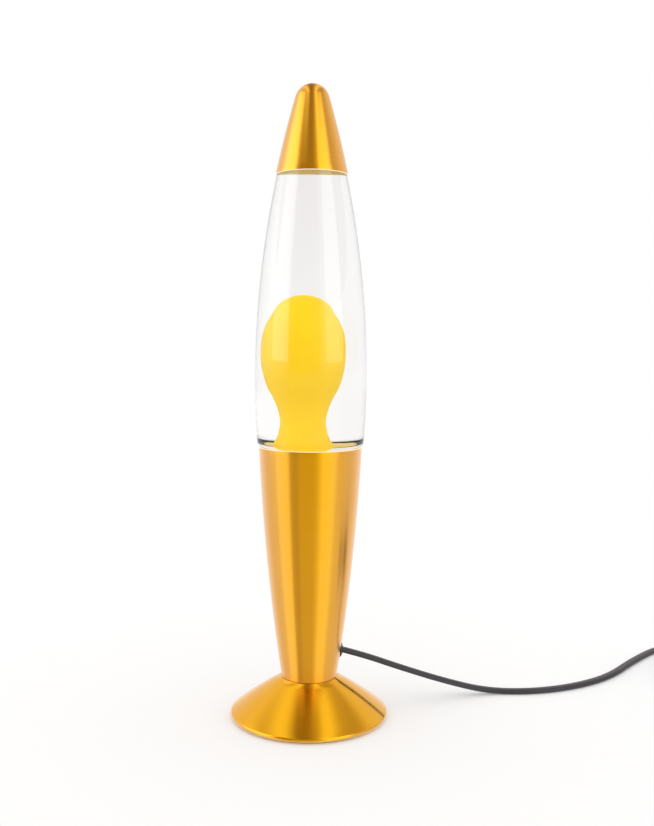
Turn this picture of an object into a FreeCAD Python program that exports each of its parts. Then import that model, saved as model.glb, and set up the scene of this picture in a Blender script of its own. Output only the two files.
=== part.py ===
"""Lava lamp: a spun shell and foot, a lift-out bottle under a loose cap, a reflector bulb, and a cord set.

The frame is +Z up with the origin on the lamp's axis, on the surface it stands on. The front is -Y.
"""

import FreeCAD, Part  # the order matters: Part needs FreeCAD loaded first
import math
import os

import Sketcher

DIMENSIONS = (
    # the foot, a spun cone with a rolled lip
    ("foot_radius", 42.8, "outer radius at the lip"),
    ("foot_top_z", 22.1, "height of the foot's flat top"),
    ("foot_top_radius", 15.05, "radius of the flat top"),
    ("foot_sweep_radius", 236.0, "radius of the slightly swelling cone"),
    ("lip_radius", 1.5, "outer radius of the rolled lip"),
    ("lip_z", 2.3, "height of the lip's centre"),
    ("lip_turn", 50.0, "angle of the cone's normal where the lip begins, degrees"),
    ("lip_flange", 0.6, "width of the lip's inward flange"),
    ("shell_wall", 0.9, "wall of the foot and the body shell"),
    ("plate_thickness", 2.0, "ballast plate"),
    ("plate_gap", 0.05, "gap round the ballast plate"),
    ("plate_slope", 53.0, "slope of the plate's edge under the cone, degrees"),
    ("pad_gap", 0.5, "gap between the pad and the flange"),
    # the body shell, a spun cone open at the top
    ("rim_z", 148.1, "height of the body's rim"),
    ("seat_reach", 1.7265, "rim's inner edge outside the centre of the bottle's shoulder"),
    ("body_sweep_radius", 1190.0, "radius of the slightly swelling wall"),
    ("edge_round", 0.25, "rounding of the rim's edges"),
    ("cord_bearing", 25.0, "direction the cord leaves in, degrees from +X"),
    ("cord_hole_rise", 12.4, "the cord's hole above the body's floor"),
    ("cord_hole_radius", 3.6, "radius of the cord's hole"),
    # the threaded tube that clamps the foot, the body and the lamp holder together
    ("thread_radius", 5.0, "M10 x 1 tube"),
    ("tube_bore", 3.6, "bore of the tube"),
    ("thread_gap", 0.05, "clearance round the tube"),
    ("washer_thickness", 0.8, "washers"),
    ("washer_radius", 8.5, "washers"),
    ("nut_height", 3.0, "hexagon nuts"),
    ("nut_radius", 8.0, "corner radius of the nuts"),
    ("tube_below", 1.5, "tube standing out of the lower nut"),
    ("tube_grip", 5.0, "tube screwed into the holder"),
    # the lamp holder, E14
    ("holder_radius", 12.9, "outer radius of the holder"),
    ("holder_wall", 2.0, "wall of the holder's base"),
    ("holder_floor", 1.0, "floor above the tube"),
    ("holder_base_height", 9.4, "base of the holder"),
    ("sleeve_height", 21.0, "sleeve of the holder"),
    ("wire_slot_width", 6.4, "slot the wires come in by"),
    ("wire_slot_height", 3.4, "slot the wires come in by"),
    ("screw_shell_wall", 0.35, "brass screw shell"),
    ("screw_shell_height", 17.0, "brass screw shell"),
    ("screw_shell_drop", 1.0, "screw shell below the sleeve's top"),
    ("contact_wall", 0.5, "centre contact strip"),
    ("contact_width", 4.0, "centre contact strip"),
    ("contact_length", 15.0, "centre contact strip"),
    ("terminal_radius", 1.5, "terminal screws"),
    ("terminal_length", 3.0, "terminal screws"),
    ("terminal_reach", 6.5, "terminal screws off the axis"),
    # the bulb, a 39 mm reflector bulb with an E14 cap
    ("bulb_length", 66.0, "tip to crown"),
    ("bulb_radius", 19.5, "reflector"),
    ("bulb_glass_wall", 0.7, "blown glass"),
    ("bulb_neck_radius", 6.3, "glass inside the cap"),
    ("bulb_crown_height", 9.0, "domed front of the bulb"),
    ("bulb_flare", 0.9, "reflector's curve as a share of its height"),
    ("bulb_neck_height", 8.0, "glass held in the cap"),
    ("bulb_cap_radius", 6.9, "E14 screw cap"),
    ("bulb_cap_height", 19.0, "E14 screw cap"),
    ("bulb_cap_wall", 0.3, "E14 screw cap"),
    ("insulator_height", 2.6, "black glass under the cap"),
    ("insulator_foot_radius", 4.8, "black glass round the tip"),
    ("insulator_inset", 0.5, "black glass inside the cap's edge"),
    ("tip_radius", 2.4, "solder tip"),
    ("tip_height", 1.2, "solder tip"),
    ("stem_radius", 2.6, "glass stem in the bulb"),
    ("stem_height", 16.0, "glass stem in the bulb"),
    ("lead_radius", 0.35, "wires that carry the filament"),
    ("lead_reach", 5.5, "wires off the axis"),
    ("lead_foot", 1.4, "depth below the stem's top at which the wires leave it"),
    ("filament_z", 83.0, "height of the filament"),
    ("filament_radius", 0.5, "coiled filament's envelope"),
    ("thread_clearance", 0.05, "bulb cap in the screw shell"),
    # the bottle
    ("bottle_radius", 30.0, "largest outer radius"),
    ("bottle_waist_z", 183.0, "height of the largest radius"),
    ("bottle_upper_sweep", 533.0, "radius of the long upper curve"),
    ("bottle_lower_sweep", 400.0, "radius of the short lower curve"),
    ("bottle_wall", 2.2, "wall of the bottle"),
    ("shoulder_radius", 3.6, "lower shoulder that sits on the rim"),
    ("seat_clearance", 0.1, "bottle above the rim"),
    ("bottle_floor_z", 116.0, "underside of the bottle"),
    ("bottle_floor_radius", 23.6, "radius above the rounded floor"),
    ("bottle_corner", 5.0, "rounding of the floor"),
    ("neck_turn_z", 293.0, "where the neck begins to draw in"),
    ("neck_z", 298.8, "foot of the straight neck"),
    ("neck_radius", 12.6, "straight neck"),
    ("neck_draw", 7.0, "radius of the draw into the neck"),
    ("inner_draw", 9.8, "the draw's radius inside the glass"),
    ("inner_shoulder", 14.4, "the shoulder's radius inside the glass"),
    ("mouth_z", 304.0, "top of the bottle"),
    ("mouth_radius", 13.3, "crown ring"),
    ("mouth_ring", 4.0, "height of the crown ring"),
    ("bore_radius", 8.0, "bore of the mouth"),
    ("liquid_z", 296.0, "level of the liquid"),
    ("liner_thickness", 0.6, "sealing liner"),
    ("crown_wall", 0.3, "tinplate crown"),
    ("crown_flare", 1.1, "crimped skirt outside the mouth's ring"),
    ("crown_height", 6.0, "crown"),
    # the wax, risen from the pool in one column
    ("pool_z", 136.0, "edge of the pool"),
    ("flare_z", 149.0, "flare above the pool"),
    ("flare_radius", 12.4, "flare above the pool"),
    ("waist_z", 163.0, "narrowest part of the column"),
    ("waist_radius", 9.1, "narrowest part of the column"),
    ("swell_z", 179.0, "column below the head"),
    ("swell_radius", 14.0, "column below the head"),
    ("head_z", 202.0, "widest part of the head"),
    ("head_radius", 17.4, "widest part of the head"),
    ("brow_z", 219.0, "head below its top"),
    ("brow_radius", 12.6, "head below its top"),
    ("head_top_z", 228.4, "top of the head"),
    ("flare_sweep", 34.0, "radius of the hollow curve up from the pool"),
    ("waist_sweep", 45.0, "radius of the hollow curve round the waist"),
    ("swell_sweep", 62.0, "radius of the curve into the head"),
    ("head_sweep", 33.0, "radius of the head's side"),
    ("wax_gap", 0.05, "film between wax, liquid and glass"),
    # the wire coil on the bottle's floor
    ("coil_wire_radius", 0.7, "wire"),
    ("coil_outer_radius", 17.0, "outer turn"),
    ("coil_pitch", 2.6, "from turn to turn"),
    ("coil_inner_radius", 7.9, "inside of the groove for the inner turn"),
    ("coil_groove_gap", 0.5, "wax round the wire"),
    # the cap
    ("cap_wall", 0.5, "spun cap"),
    ("cap_clearance", 0.1, "cap off the glass"),
    ("cap_rim_z", 292.3, "rim of the cap"),
    ("cap_top_z", 340.0, "top of the cap"),
    # the cord set
    ("cord_radius", 2.0, "round tube of the flat cord's section"),
    ("cord_gap", 0.1, "play round the bushing and the band"),
    ("bushing_flange", 1.2, "flange of the cord bushing"),
    ("bushing_flange_radius", 4.8, "flange of the cord bushing"),
    ("bushing_inside", 2.5, "bushing inside the wall"),
    ("wire_radius", 0.9, "one insulated core"),
    ("hank_inner", 22.5, "inside of the wound cord"),
    ("hank_outer", 33.5, "outside of the wound cord"),
    ("hank_height", 10.5, "height of the wound cord"),
    ("hank_x", 255.5, "centre of the wound cord"),
    ("hank_y", -16.0, "centre of the wound cord"),
    ("tie_wall", 0.6, "band round the wound cord"),
    ("tie_width", 8.0, "band round the wound cord"),
    # the in-line switch
    ("switch_x", 286.0, "centre of the switch"),
    ("switch_y", 52.0, "centre of the switch"),
    ("switch_length", 60.0, "along the cord"),
    ("switch_width", 25.0, "across the cord"),
    ("switch_end_width", 13.0, "across the cord at its ends"),
    ("switch_shoulder", 15.0, "from the middle to where its ends draw in"),
    ("switch_base_height", 9.0, "lower shell"),
    ("switch_cover_height", 6.5, "upper shell"),
    ("switch_wall", 1.8, "shells"),
    ("switch_cord_z", 6.0, "height of the cord in the switch"),
    ("switch_round", 1.5, "rounding of the shells"),
    ("rocker_length", 17.0, "along the cord"),
    ("rocker_width", 10.0, "across the cord"),
    ("rocker_height", 5.0, "rocker's block"),
    ("rocker_gap", 0.4, "rocker in its window"),
    ("rocker_pivot_z", 14.0, "height of the rocker's pivot"),
    ("rocker_tilt", 9.0, "tilt of the rocker, degrees"),
    ("rocker_dish", 0.95, "depth of the rocker's hollow face"),
    ("bridge_length", 12.75, "bridge under the rocker"),
    ("pivot_radius", 1.0, "rocker's stub pins"),
    ("pivot_reach", 1.2, "stub pins standing out of the rocker"),
    ("strip_thickness", 0.6, "contact strips"),
    ("strip_width", 2.4, "contact strips"),
    ("strip_length", 15.0, "one contact strip"),
    ("strip_reach", 5.0, "contact strips off the middle"),
    ("strip_shift", 2.5, "contact strips along the cord"),
    ("post_drop", 1.7, "contact posts below the rocker's block"),
    ("clamp_length", 9.0, "cord clamps across the cord"),
    ("clamp_width", 3.0, "cord clamps along the cord"),
    ("clamp_inset", 7.5, "cord clamps inside the switch's ends"),
    ("screw_radius", 1.2, "switch screws"),
    ("screw_head_radius", 2.2, "switch screws"),
    ("screw_head_height", 1.2, "switch screws"),
    ("screw_spacing", 24.0, "between the switch screws, along the cord"),
    ("screw_offset", 8.0, "switch screws off the cord's line"),
    # the plug, a flat moulded two-pin plug
    ("plug_x", 240.0, "centre of the plug"),
    ("plug_y", 28.0, "where the cord enters the boot"),
    ("boot_length", 12.0, "tapered boot"),
    ("boot_radius", 4.0, "boot where it meets the plug"),
    ("boot_end_radius", 3.0, "boot where the cord enters"),
    ("plug_length", 35.0, "moulded body"),
    ("plug_height", 13.7, "moulded body"),
    ("plug_width", 26.0, "moulded body"),
    ("plug_back_width", 14.0, "moulded body at the boot"),
    ("plug_grip_length", 15.75, "tapered part of the body"),
    ("plug_round", 2.0, "rounding of the body"),
    ("pin_spacing", 19.0, "centre to centre"),
    ("pin_radius", 2.0, "plug pins"),
    ("pin_length", 19.0, "plug pins outside the body"),
    ("pin_root", 8.0, "plug pins inside the body"),
    ("sleeve_length", 10.0, "insulated part of the pins"),
    ("sleeve_inset", 0.3, "sleeve's outside below the pin's"),
    ("sleeve_wall", 0.4, "insulating sleeve"),
)

# Points of the cord after the bushing and before the switch, the switch and the wound cord, and the wound cord
# and the plug. They are laid by hand: down from the body, along the floor and round to where the rest is kept.
CORD_LEAD = (
    (30.0, 13.0, 31.2),
    (52.0, 17.6, 20.5),
    (78.0, 25.0, 11.2),
    (104.0, 32.0, 2.0),
    (130.0, 30.6, 2.0),
    (158.0, 39.5, 2.0),
    (184.0, 57.0, 2.0),
    (207.0, 86.0, 2.0),
    (234.0, 114.0, 2.0),
    (255.5, 118.6, 2.0),
    (275.0, 110.7, 2.4),
    (286.0, 95.0, 4.2),
    (286.0, 80.2, 6.0),
)
CORD_LINK = ((286.0, 23.8, 6.0), (286.0, 9.9, 4.7), (285.2, -4.0, 3.2))
CORD_TAIL = ((228.8, -4.7, 7.5), (233.6, 5.5, 5.9), (238.4, 16.8, 5.7), (240.0, 28.0, 6.85))

COIL_HALF_TURNS = 6
RUN_SHARE = 0.45  # how much of a run an arc of the cord takes up
SHEET = "Sizes"
ALL = []


class Size:
    """A number together with the spreadsheet expression that gives it."""

    def __init__(self, value, text):
        self.value = value
        self.text = text

    @staticmethod
    def of(other):
        return other if isinstance(other, Size) else Size(float(other), repr(float(other)))

    def __add__(self, other):
        other = Size.of(other)
        return Size(self.value + other.value, f"({self.text} + {other.text})")

    def __sub__(self, other):
        other = Size.of(other)
        return Size(self.value - other.value, f"({self.text} - {other.text})")

    def __mul__(self, other):
        other = Size.of(other)
        return Size(self.value * other.value, f"({self.text} * {other.text})")

    def __truediv__(self, other):
        other = Size.of(other)
        return Size(self.value / other.value, f"({self.text} / {other.text})")

    def __rsub__(self, other):
        return Size.of(other) - self

    def __neg__(self):
        return Size(-self.value, f"(-1 * {self.text})")

    def root(self):
        return Size(math.sqrt(self.value), f"sqrt({self.text})")

    def cos(self):
        return Size(math.cos(math.radians(self.value)), f"cos({self.text})")

    def sin(self):
        return Size(math.sin(math.radians(self.value)), f"sin({self.text})")

    __radd__ = __add__
    __rmul__ = __mul__


class Disc:
    """A round outline: its centre on the sketch and its radius."""

    def __init__(self, x, y, radius):
        self.x = Size.of(x)
        self.y = Size.of(y)
        self.radius = Size.of(radius)


def write_sheet(doc):
    """Puts the driving dimensions in the spreadsheet and returns them by name."""
    sheet = doc.addObject("Spreadsheet::Sheet", SHEET)
    sizes = {}
    for row, (name, value, what) in enumerate(DIMENSIONS, start=1):
        sheet.set(f"A{row}", name)
        sheet.set(f"B{row}", str(value))
        sheet.set(f"C{row}", what)
        sheet.setAlias(f"B{row}", name)
        sizes[name] = Size(value, f"{SHEET}.{name}")
    doc.recompute()
    add_derived(sizes)
    return sizes


def add_derived(d):
    """Adds the sizes that follow from others: the rim under the bottle's shoulder, the body's foot, the hole, the crown."""
    d["rim_radius"] = shoulder_top_radius(d) - d["shoulder_radius"] + d["seat_reach"] + d["shell_wall"]
    d["body_foot_radius"] = d["foot_top_radius"]
    d["cord_hole_z"] = d["foot_top_z"] + d["cord_hole_rise"]
    d["crown_radius"] = d["mouth_radius"] + d["crown_flare"]


def root(value):
    """The square root of a size."""
    return Size.of(value).root()


def crown_radius(across, rise):
    """The radius of a dome of that rise over a circle of that radius."""
    return (across * across + rise * rise) / (2 * rise)


def sweep_in(sweep, height):
    """How far an arc of that radius has drawn in at that height from its widest point."""
    return sweep - root(sweep * sweep - height * height)


def keep(obj, label):
    """Names a finished sub-part and puts it on the list that is written out."""
    obj.Label = label
    ALL.append(obj)
    return obj


def place(obj, x=0.0, y=0.0, z=0.0, turn=0.0):
    """Moves an object to a point, turned about the vertical by some degrees."""
    obj.Placement = FreeCAD.Placement(
        FreeCAD.Vector(Size.of(x).value, Size.of(y).value, Size.of(z).value),
        FreeCAD.Rotation(FreeCAD.Vector(0, 0, 1), Size.of(turn).value),
    )
    for axis, where in zip("xyz", (x, y, z)):
        if isinstance(where, Size):
            obj.setExpression(f"Placement.Base.{axis}", where.text)
    return obj


def plane(body, role):
    """One of a body's own origin planes."""
    return next(f for f in body.Origin.OriginFeatures if f.Role == role)


def arc_curve(start, end, radius, left):
    """An arc from start to end whose centre lies on the left or the right of the way there."""
    chord = end - start
    middle = (start + end) * 0.5
    across = FreeCAD.Vector(-chord.y, chord.x, 0).normalize()
    rise = math.sqrt(max(radius ** 2 - (chord.Length / 2) ** 2, 0.0))
    centre = middle + across * (rise if left else -rise)
    first, last = (start, end) if left else (end, start)
    turn_from = math.atan2(first.y - centre.y, first.x - centre.x)
    turn_to = math.atan2(last.y - centre.y, last.x - centre.x)
    circle = Part.Circle(centre, FreeCAD.Vector(0, 0, 1), radius)
    return Part.ArcOfCircle(circle, turn_from, turn_to)


def bind(sketch, constraint, text):
    """Adds a constraint and ties it to an expression."""
    index = sketch.addConstraint(constraint)
    name = f"size{index}"
    sketch.renameConstraint(index, name)
    sketch.setExpression(f"Constraints.{name}", text)


def pin_down(sketch, edge, end, x, y):
    """Fixes one end of an edge at sizes measured from the sketch's origin."""
    for kind, size, axis in (("DistanceX", x, -2), ("DistanceY", y, -1)):
        if abs(size.value) < 1e-9:
            sketch.addConstraint(Sketcher.Constraint("PointOnObject", edge, end, axis))
        else:
            bind(sketch, Sketcher.Constraint(kind, -1, 1, edge, end, size.value), size.text)


def draw(body, role, outline, name, height=None):
    """Draws a closed outline on an origin plane, or on a plane at a height above it.

    The outline is a list of corners (x, y) or (x, y, radius, side), where the radius and side, "left" or "right",
    of the arc's centre belong to the edge that goes on from that corner.
    """
    sketch = body.newObject("Sketcher::SketchObject", name)
    sketch.AttachmentSupport = [(plane(body, role), "")]
    sketch.MapMode = "FlatFace"
    if height is not None:
        sketch.AttachmentOffset.Base.z = height.value
        sketch.setExpression("AttachmentOffset.Base.z", height.text)
    if isinstance(outline, Disc):
        centre = FreeCAD.Vector(outline.x.value, outline.y.value, 0)
        sketch.addGeometry(Part.Circle(centre, FreeCAD.Vector(0, 0, 1), outline.radius.value))
        bind(sketch, Sketcher.Constraint("Radius", 0, outline.radius.value), outline.radius.text)
        pin_down(sketch, 0, 3, outline.x, outline.y)
        return sketch
    corners = [tuple(Size.of(c) for c in corner[:2]) for corner in outline]
    points = [FreeCAD.Vector(x.value, y.value, 0) for x, y in corners]
    starts = []
    for i, corner in enumerate(outline):
        start, end = points[i], points[(i + 1) % len(points)]
        if len(corner) == 2:
            sketch.addGeometry(Part.LineSegment(start, end))
            starts.append(1)
        else:
            left = corner[3] == "left"
            sketch.addGeometry(arc_curve(start, end, Size.of(corner[2]).value, left))
            starts.append(1 if left else 2)
    for i, corner in enumerate(outline):
        before = (i - 1) % len(outline)
        sketch.addConstraint(Sketcher.Constraint("Coincident", before, 3 - starts[before], i, starts[i]))
        pin_down(sketch, i, starts[i], *corners[i])
        if len(corner) > 2:
            radius = Size.of(corner[2])
            bind(sketch, Sketcher.Constraint("Radius", i, radius.value), radius.text)
    return sketch


def lathe(doc, name, outline):
    """A solid of revolution about the vertical, from an outline of radii and heights."""
    body = doc.addObject("PartDesign::Body", name)
    sketch = draw(body, "XZ_Plane", outline, "Profile")
    feature = body.newObject("PartDesign::Revolution", "Turning")
    feature.Profile = sketch
    feature.ReferenceAxis = (sketch, ["V_Axis"])
    feature.Angle = 360
    body.Tip = feature
    doc.recompute()
    return body


def turned(doc, label, outline):
    """A sub-part that is a solid of revolution."""
    return keep(lathe(doc, label.title().replace("_", ""), outline), label)


def padded(doc, name, outline, height, start=None):
    """A prism that stands on the body's XY plane, or starts at a height above it."""
    body = doc.addObject("PartDesign::Body", name)
    sketch = draw(body, "XY_Plane", outline, "Outline", start)
    feature = body.newObject("PartDesign::Pad", "Block")
    feature.Profile = sketch
    feature.Length = Size.of(height).value
    feature.setExpression("Length", Size.of(height).text)
    body.Tip = feature
    doc.recompute()
    return body


def cut_through(doc, body, role, outline, depth, name, both=False, back=False, height=None):
    """Cuts a pocket from an origin plane or a plane above it, and checks that it took something away."""
    before = body.Shape.Volume
    sketch = draw(body, role, outline, f"{name}Outline", height)
    feature = body.newObject("PartDesign::Pocket", name)
    feature.Profile = sketch
    feature.Length = Size.of(depth).value
    feature.setExpression("Length", Size.of(depth).text)
    feature.Midplane = both
    feature.Reversed = back
    body.Tip = feature
    doc.recompute()
    if body.Shape.Volume > before - 1e-6:
        raise RuntimeError(f"{name} cuts nothing from {body.Label}")


def soften(doc, body, radius, wanted):
    """Rounds the edges of a body's last feature that a test picks out."""
    feature = body.Tip
    names = [f"Edge{i}" for i, e in enumerate(feature.Shape.Edges, start=1) if wanted(e)]
    if not names:
        raise RuntimeError(f"no edge to round on {body.Label}")
    rounding = body.newObject("PartDesign::Fillet", "Rounding")
    rounding.Base = (feature, names)
    rounding.Radius = Size.of(radius).value
    rounding.setExpression("Radius", Size.of(radius).text)
    body.Tip = rounding
    doc.recompute()


def is_ring(radius, z):
    """A test for circular edges of that radius at that height."""
    def test(edge):
        curve = edge.Curve
        same = isinstance(curve, Part.Circle) and abs(curve.Radius - radius.value) < 1e-3
        return same and abs(curve.Center.z - z.value) < 1e-3
    return test


def is_upright(edge):
    """A test for straight vertical edges."""
    return isinstance(edge.Curve, Part.Line) and abs(edge.tangentAt(edge.FirstParameter).z) > 0.99


def is_above(z):
    """A test for edges that lie wholly at a height."""
    def test(edge):
        return all(abs(v.Point.z - z.value) < 1e-3 for v in edge.Vertexes)
    return test


def rectangle(x0, y0, x1, y1):
    """The corners of a rectangle, in order."""
    return [(x0, y0), (x1, y0), (x1, y1), (x0, y1)]


def rod(doc, name, radius, length, base, axis=(0, 0, 1)):
    """A cylinder that starts at a point and runs along an axis."""
    obj = doc.addObject("Part::Cylinder", name)
    obj.Radius = Size.of(radius).value
    obj.Height = Size.of(length).value
    obj.setExpression("Radius", Size.of(radius).text)
    obj.setExpression("Height", Size.of(length).text)
    point = FreeCAD.Vector(*[Size.of(c).value for c in base])
    obj.Placement = FreeCAD.Placement(point, FreeCAD.Rotation(FreeCAD.Vector(0, 0, 1), FreeCAD.Vector(*axis)))
    return obj


def block(doc, name, size, base):
    """A box with its lowest corner at a point."""
    obj = doc.addObject("Part::Box", name)
    for side, length in zip(("Length", "Width", "Height"), size):
        setattr(obj, side, Size.of(length).value)
        obj.setExpression(side, Size.of(length).text)
    obj.Placement.Base = FreeCAD.Vector(*[Size.of(c).value for c in base])
    return obj


def joined(doc, name, pieces, kind="Part::MultiFuse"):
    """Several shapes made into one object, fused or kept as separate solids."""
    obj = doc.addObject(kind, name)
    if kind == "Part::Compound":
        obj.Links = pieces
    else:
        obj.Shapes = pieces
    return obj


def cut(doc, name, base, tool):
    """One shape less another."""
    obj = doc.addObject("Part::Cut", name)
    obj.Base = base
    obj.Tool = tool
    return obj


# ---------------------------------------------------------------- the foot and the body shell


def foot_outline(d):
    """The foot's section: flat top, swelling cone, rolled lip with an inward flange, and the same inside."""
    lip_x = d["foot_radius"] - d["lip_radius"]
    inner_lip = d["lip_radius"] - d["shell_wall"]
    out_x, out_z = d["lip_turn"].cos(), d["lip_turn"].sin()
    low = d["lip_z"] - d["lip_radius"]
    inner_top = d["foot_top_z"] - d["shell_wall"]
    return [
        (d["thread_radius"] + d["thread_gap"], d["foot_top_z"]),
        (d["thread_radius"] + d["thread_gap"], inner_top),
        (d["foot_top_radius"] - d["shell_wall"] / 2, inner_top, d["foot_sweep_radius"] - d["shell_wall"], "right"),
        (lip_x + inner_lip * out_x, d["lip_z"] + inner_lip * out_z, inner_lip, "right"),
        (lip_x, low + d["shell_wall"]),
        (lip_x - d["lip_flange"], low + d["shell_wall"]),
        (lip_x - d["lip_flange"], low),
        (lip_x, low, d["lip_radius"], "left"),
        (lip_x + d["lip_radius"] * out_x, d["lip_z"] + d["lip_radius"] * out_z, d["foot_sweep_radius"], "left"),
        (d["foot_top_radius"], d["foot_top_z"]),
    ]


def build_foot(doc, d):
    """The foot, its ballast plate on the lip's flange, and the pad that stands on the table."""
    turned(doc, "foot", foot_outline(d))
    flange_z = d["lip_z"] - d["lip_radius"] + d["shell_wall"]
    edge = d["foot_radius"] - d["lip_radius"] - d["plate_gap"]
    slope = d["plate_slope"].sin() / d["plate_slope"].cos()
    top_edge = edge - (d["plate_thickness"] - d["lip_radius"] + d["shell_wall"]) * slope
    turned(doc, "base_plate", [
        (0, flange_z),
        (edge, flange_z),
        (edge, d["lip_z"]),
        (top_edge, flange_z + d["plate_thickness"]),
        (0, flange_z + d["plate_thickness"]),
    ])
    pad_radius = d["foot_radius"] - d["lip_radius"] - d["lip_flange"] - d["pad_gap"]
    turned(doc, "base_pad", rectangle(0, 0, pad_radius, flange_z))


def body_radius_at(d, z):
    """The body's outer radius at a height: the chord from floor to rim, and the arc's swell over it."""
    rise = d["rim_z"] - d["foot_top_z"]
    along = (z - d["foot_top_z"]) / rise
    chord = d["body_foot_radius"] + (d["rim_radius"] - d["body_foot_radius"]) * along
    return chord + (rise * rise) * along * (1 - along) / (2 * d["body_sweep_radius"])


def build_body(doc, d):
    """The body shell, turned so that its cord hole looks along the cord's bearing, with a rounded rim."""
    floor = d["foot_top_z"]
    sweep = d["body_sweep_radius"]
    wall = d["shell_wall"]
    body = turned(doc, "body_shell", [
        (d["thread_radius"] + d["thread_gap"], floor),
        (d["body_foot_radius"], floor, sweep, "left"),
        (d["rim_radius"], d["rim_z"]),
        (d["rim_radius"] - wall, d["rim_z"], sweep - wall, "right"),
        (d["body_foot_radius"] - wall, floor + wall),
        (d["thread_radius"] + d["thread_gap"], floor + wall),
    ])
    soften(doc, body, d["edge_round"], is_ring(d["rim_radius"], d["rim_z"]))
    hole = Disc(0, d["cord_hole_z"], d["cord_hole_radius"])
    cut_through(doc, body, "YZ_Plane", hole, d["rim_radius"], "CordHole", back=True)
    place(body, turn=d["cord_bearing"])


def build_clamping(doc, d):
    """The threaded tube with its two washers and two nuts, one pair above the body's floor and one under the foot."""
    wall, washer, nut = d["shell_wall"], d["washer_thickness"], d["nut_height"]
    above = d["foot_top_z"] + wall
    below = d["foot_top_z"] - wall
    foot_of_tube = below - washer - nut - d["tube_below"]
    top_of_tube = above + washer + nut + d["tube_grip"]
    turned(doc, "threaded_tube", rectangle(d["tube_bore"], foot_of_tube, d["thread_radius"], top_of_tube))
    clear = d["thread_radius"] + d["thread_gap"]
    washers, nuts = [], []
    for side, washer_z, nut_z in (("Upper", above, above + washer), ("Lower", below - washer, below - washer - nut)):
        ring = rod(doc, f"{side}WasherDisc", d["washer_radius"], washer, (0, 0, washer_z))
        hole = rod(doc, f"{side}WasherHole", clear, washer, (0, 0, washer_z))
        washers.append(cut(doc, f"{side}Washer", ring, hole))
        hexagon = doc.addObject("Part::Prism", f"{side}Hexagon")
        hexagon.Polygon = 6
        hexagon.Circumradius = d["nut_radius"].value
        hexagon.Height = nut.value
        hexagon.setExpression("Circumradius", d["nut_radius"].text)
        hexagon.setExpression("Height", nut.text)
        hexagon.Placement.Base = FreeCAD.Vector(0, 0, nut_z.value)
        nuts.append(cut(doc, f"{side}Nut", hexagon, rod(doc, f"{side}NutHole", clear, nut, (0, 0, nut_z))))
    keep(joined(doc, "Washers", washers, "Part::Compound"), "tube_washers")
    keep(joined(doc, "Nuts", nuts, "Part::Compound"), "tube_nuts")


# ---------------------------------------------------------------- the lamp holder


def holder_levels(d):
    """Heights in the holder: its underside, the floor of its base, its split line and its top."""
    under = d["foot_top_z"] + d["shell_wall"] + d["washer_thickness"] + d["nut_height"]
    floor = under + d["tube_grip"] + d["holder_floor"]
    split = under + d["holder_base_height"]
    return under, floor, split, split + d["sleeve_height"]


def build_holder(doc, d):
    """The base with its wire slot, the sleeve, the brass screw shell, the centre contact and the terminal screws."""
    under, floor, split, top = holder_levels(d)
    radius, wall = d["holder_radius"], d["holder_wall"]
    base = turned(doc, "holder_base", [
        (d["thread_radius"] + d["thread_gap"], under),
        (radius, under),
        (radius, split),
        (radius - wall, split),
        (radius - wall, floor),
        (0, floor),
        (0, under + d["tube_grip"]),
        (d["thread_radius"] + d["thread_gap"], under + d["tube_grip"]),
    ])
    half = d["wire_slot_width"] / 2
    slot = rectangle(-half, split - d["wire_slot_height"], half, split)
    cut_through(doc, base, "YZ_Plane", slot, radius, "WireSlot", back=True)
    place(base, turn=d["cord_bearing"])
    inside = d["bulb_cap_radius"] + d["thread_clearance"]
    shell_top = top - d["screw_shell_drop"]
    shell_foot = shell_top - d["screw_shell_height"]
    shell_out = inside + d["screw_shell_wall"]
    turned(doc, "holder_sleeve", [
        (shell_out, split),
        (radius, split),
        (radius, top),
        (inside, top),
        (inside, shell_top),
        (shell_out, shell_top),
    ])
    turned(doc, "screw_shell", [
        (inside, shell_foot),
        (shell_out, shell_foot),
        (shell_out, shell_top),
        (inside, shell_top),
    ])
    build_contact(doc, d, floor)


def build_contact(doc, d, floor):
    """The strip that rises under the bulb's tip, and the two screws that hold the cores to the holder."""
    tip_z = bulb_tip_z(d)
    wall = d["contact_wall"]
    rise = tip_z - floor - wall
    length, width = d["contact_length"], d["contact_width"]
    strip = block(doc, "ContactStrip", (length, width, wall), (-length / 2, -width / 2, floor))
    post = block(doc, "ContactPost", (wall * 2, width, rise), (-wall, -width / 2, floor))
    finger = block(doc, "ContactFinger", (width, width, wall), (-width / 2, -width / 2, tip_z - wall))
    keep(joined(doc, "CentreContact", [strip, post, finger]), "centre_contact")
    screws = []
    for side in (-1, 1):
        base = (0, side * d["terminal_reach"], floor)
        screws.append(rod(doc, f"TerminalScrew{side + 1}", d["terminal_radius"], d["terminal_length"], base))
    keep(joined(doc, "Terminals", screws, "Part::Compound"), "terminal_screws")


# ---------------------------------------------------------------- the bulb


def bulb_tip_z(d):
    """Height of the bulb's tip, where the screw cap is fully home in the holder."""
    top = holder_levels(d)[3]
    return top - d["bulb_cap_height"] - d["insulator_height"] - d["tip_height"] + d["screw_shell_drop"]


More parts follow.
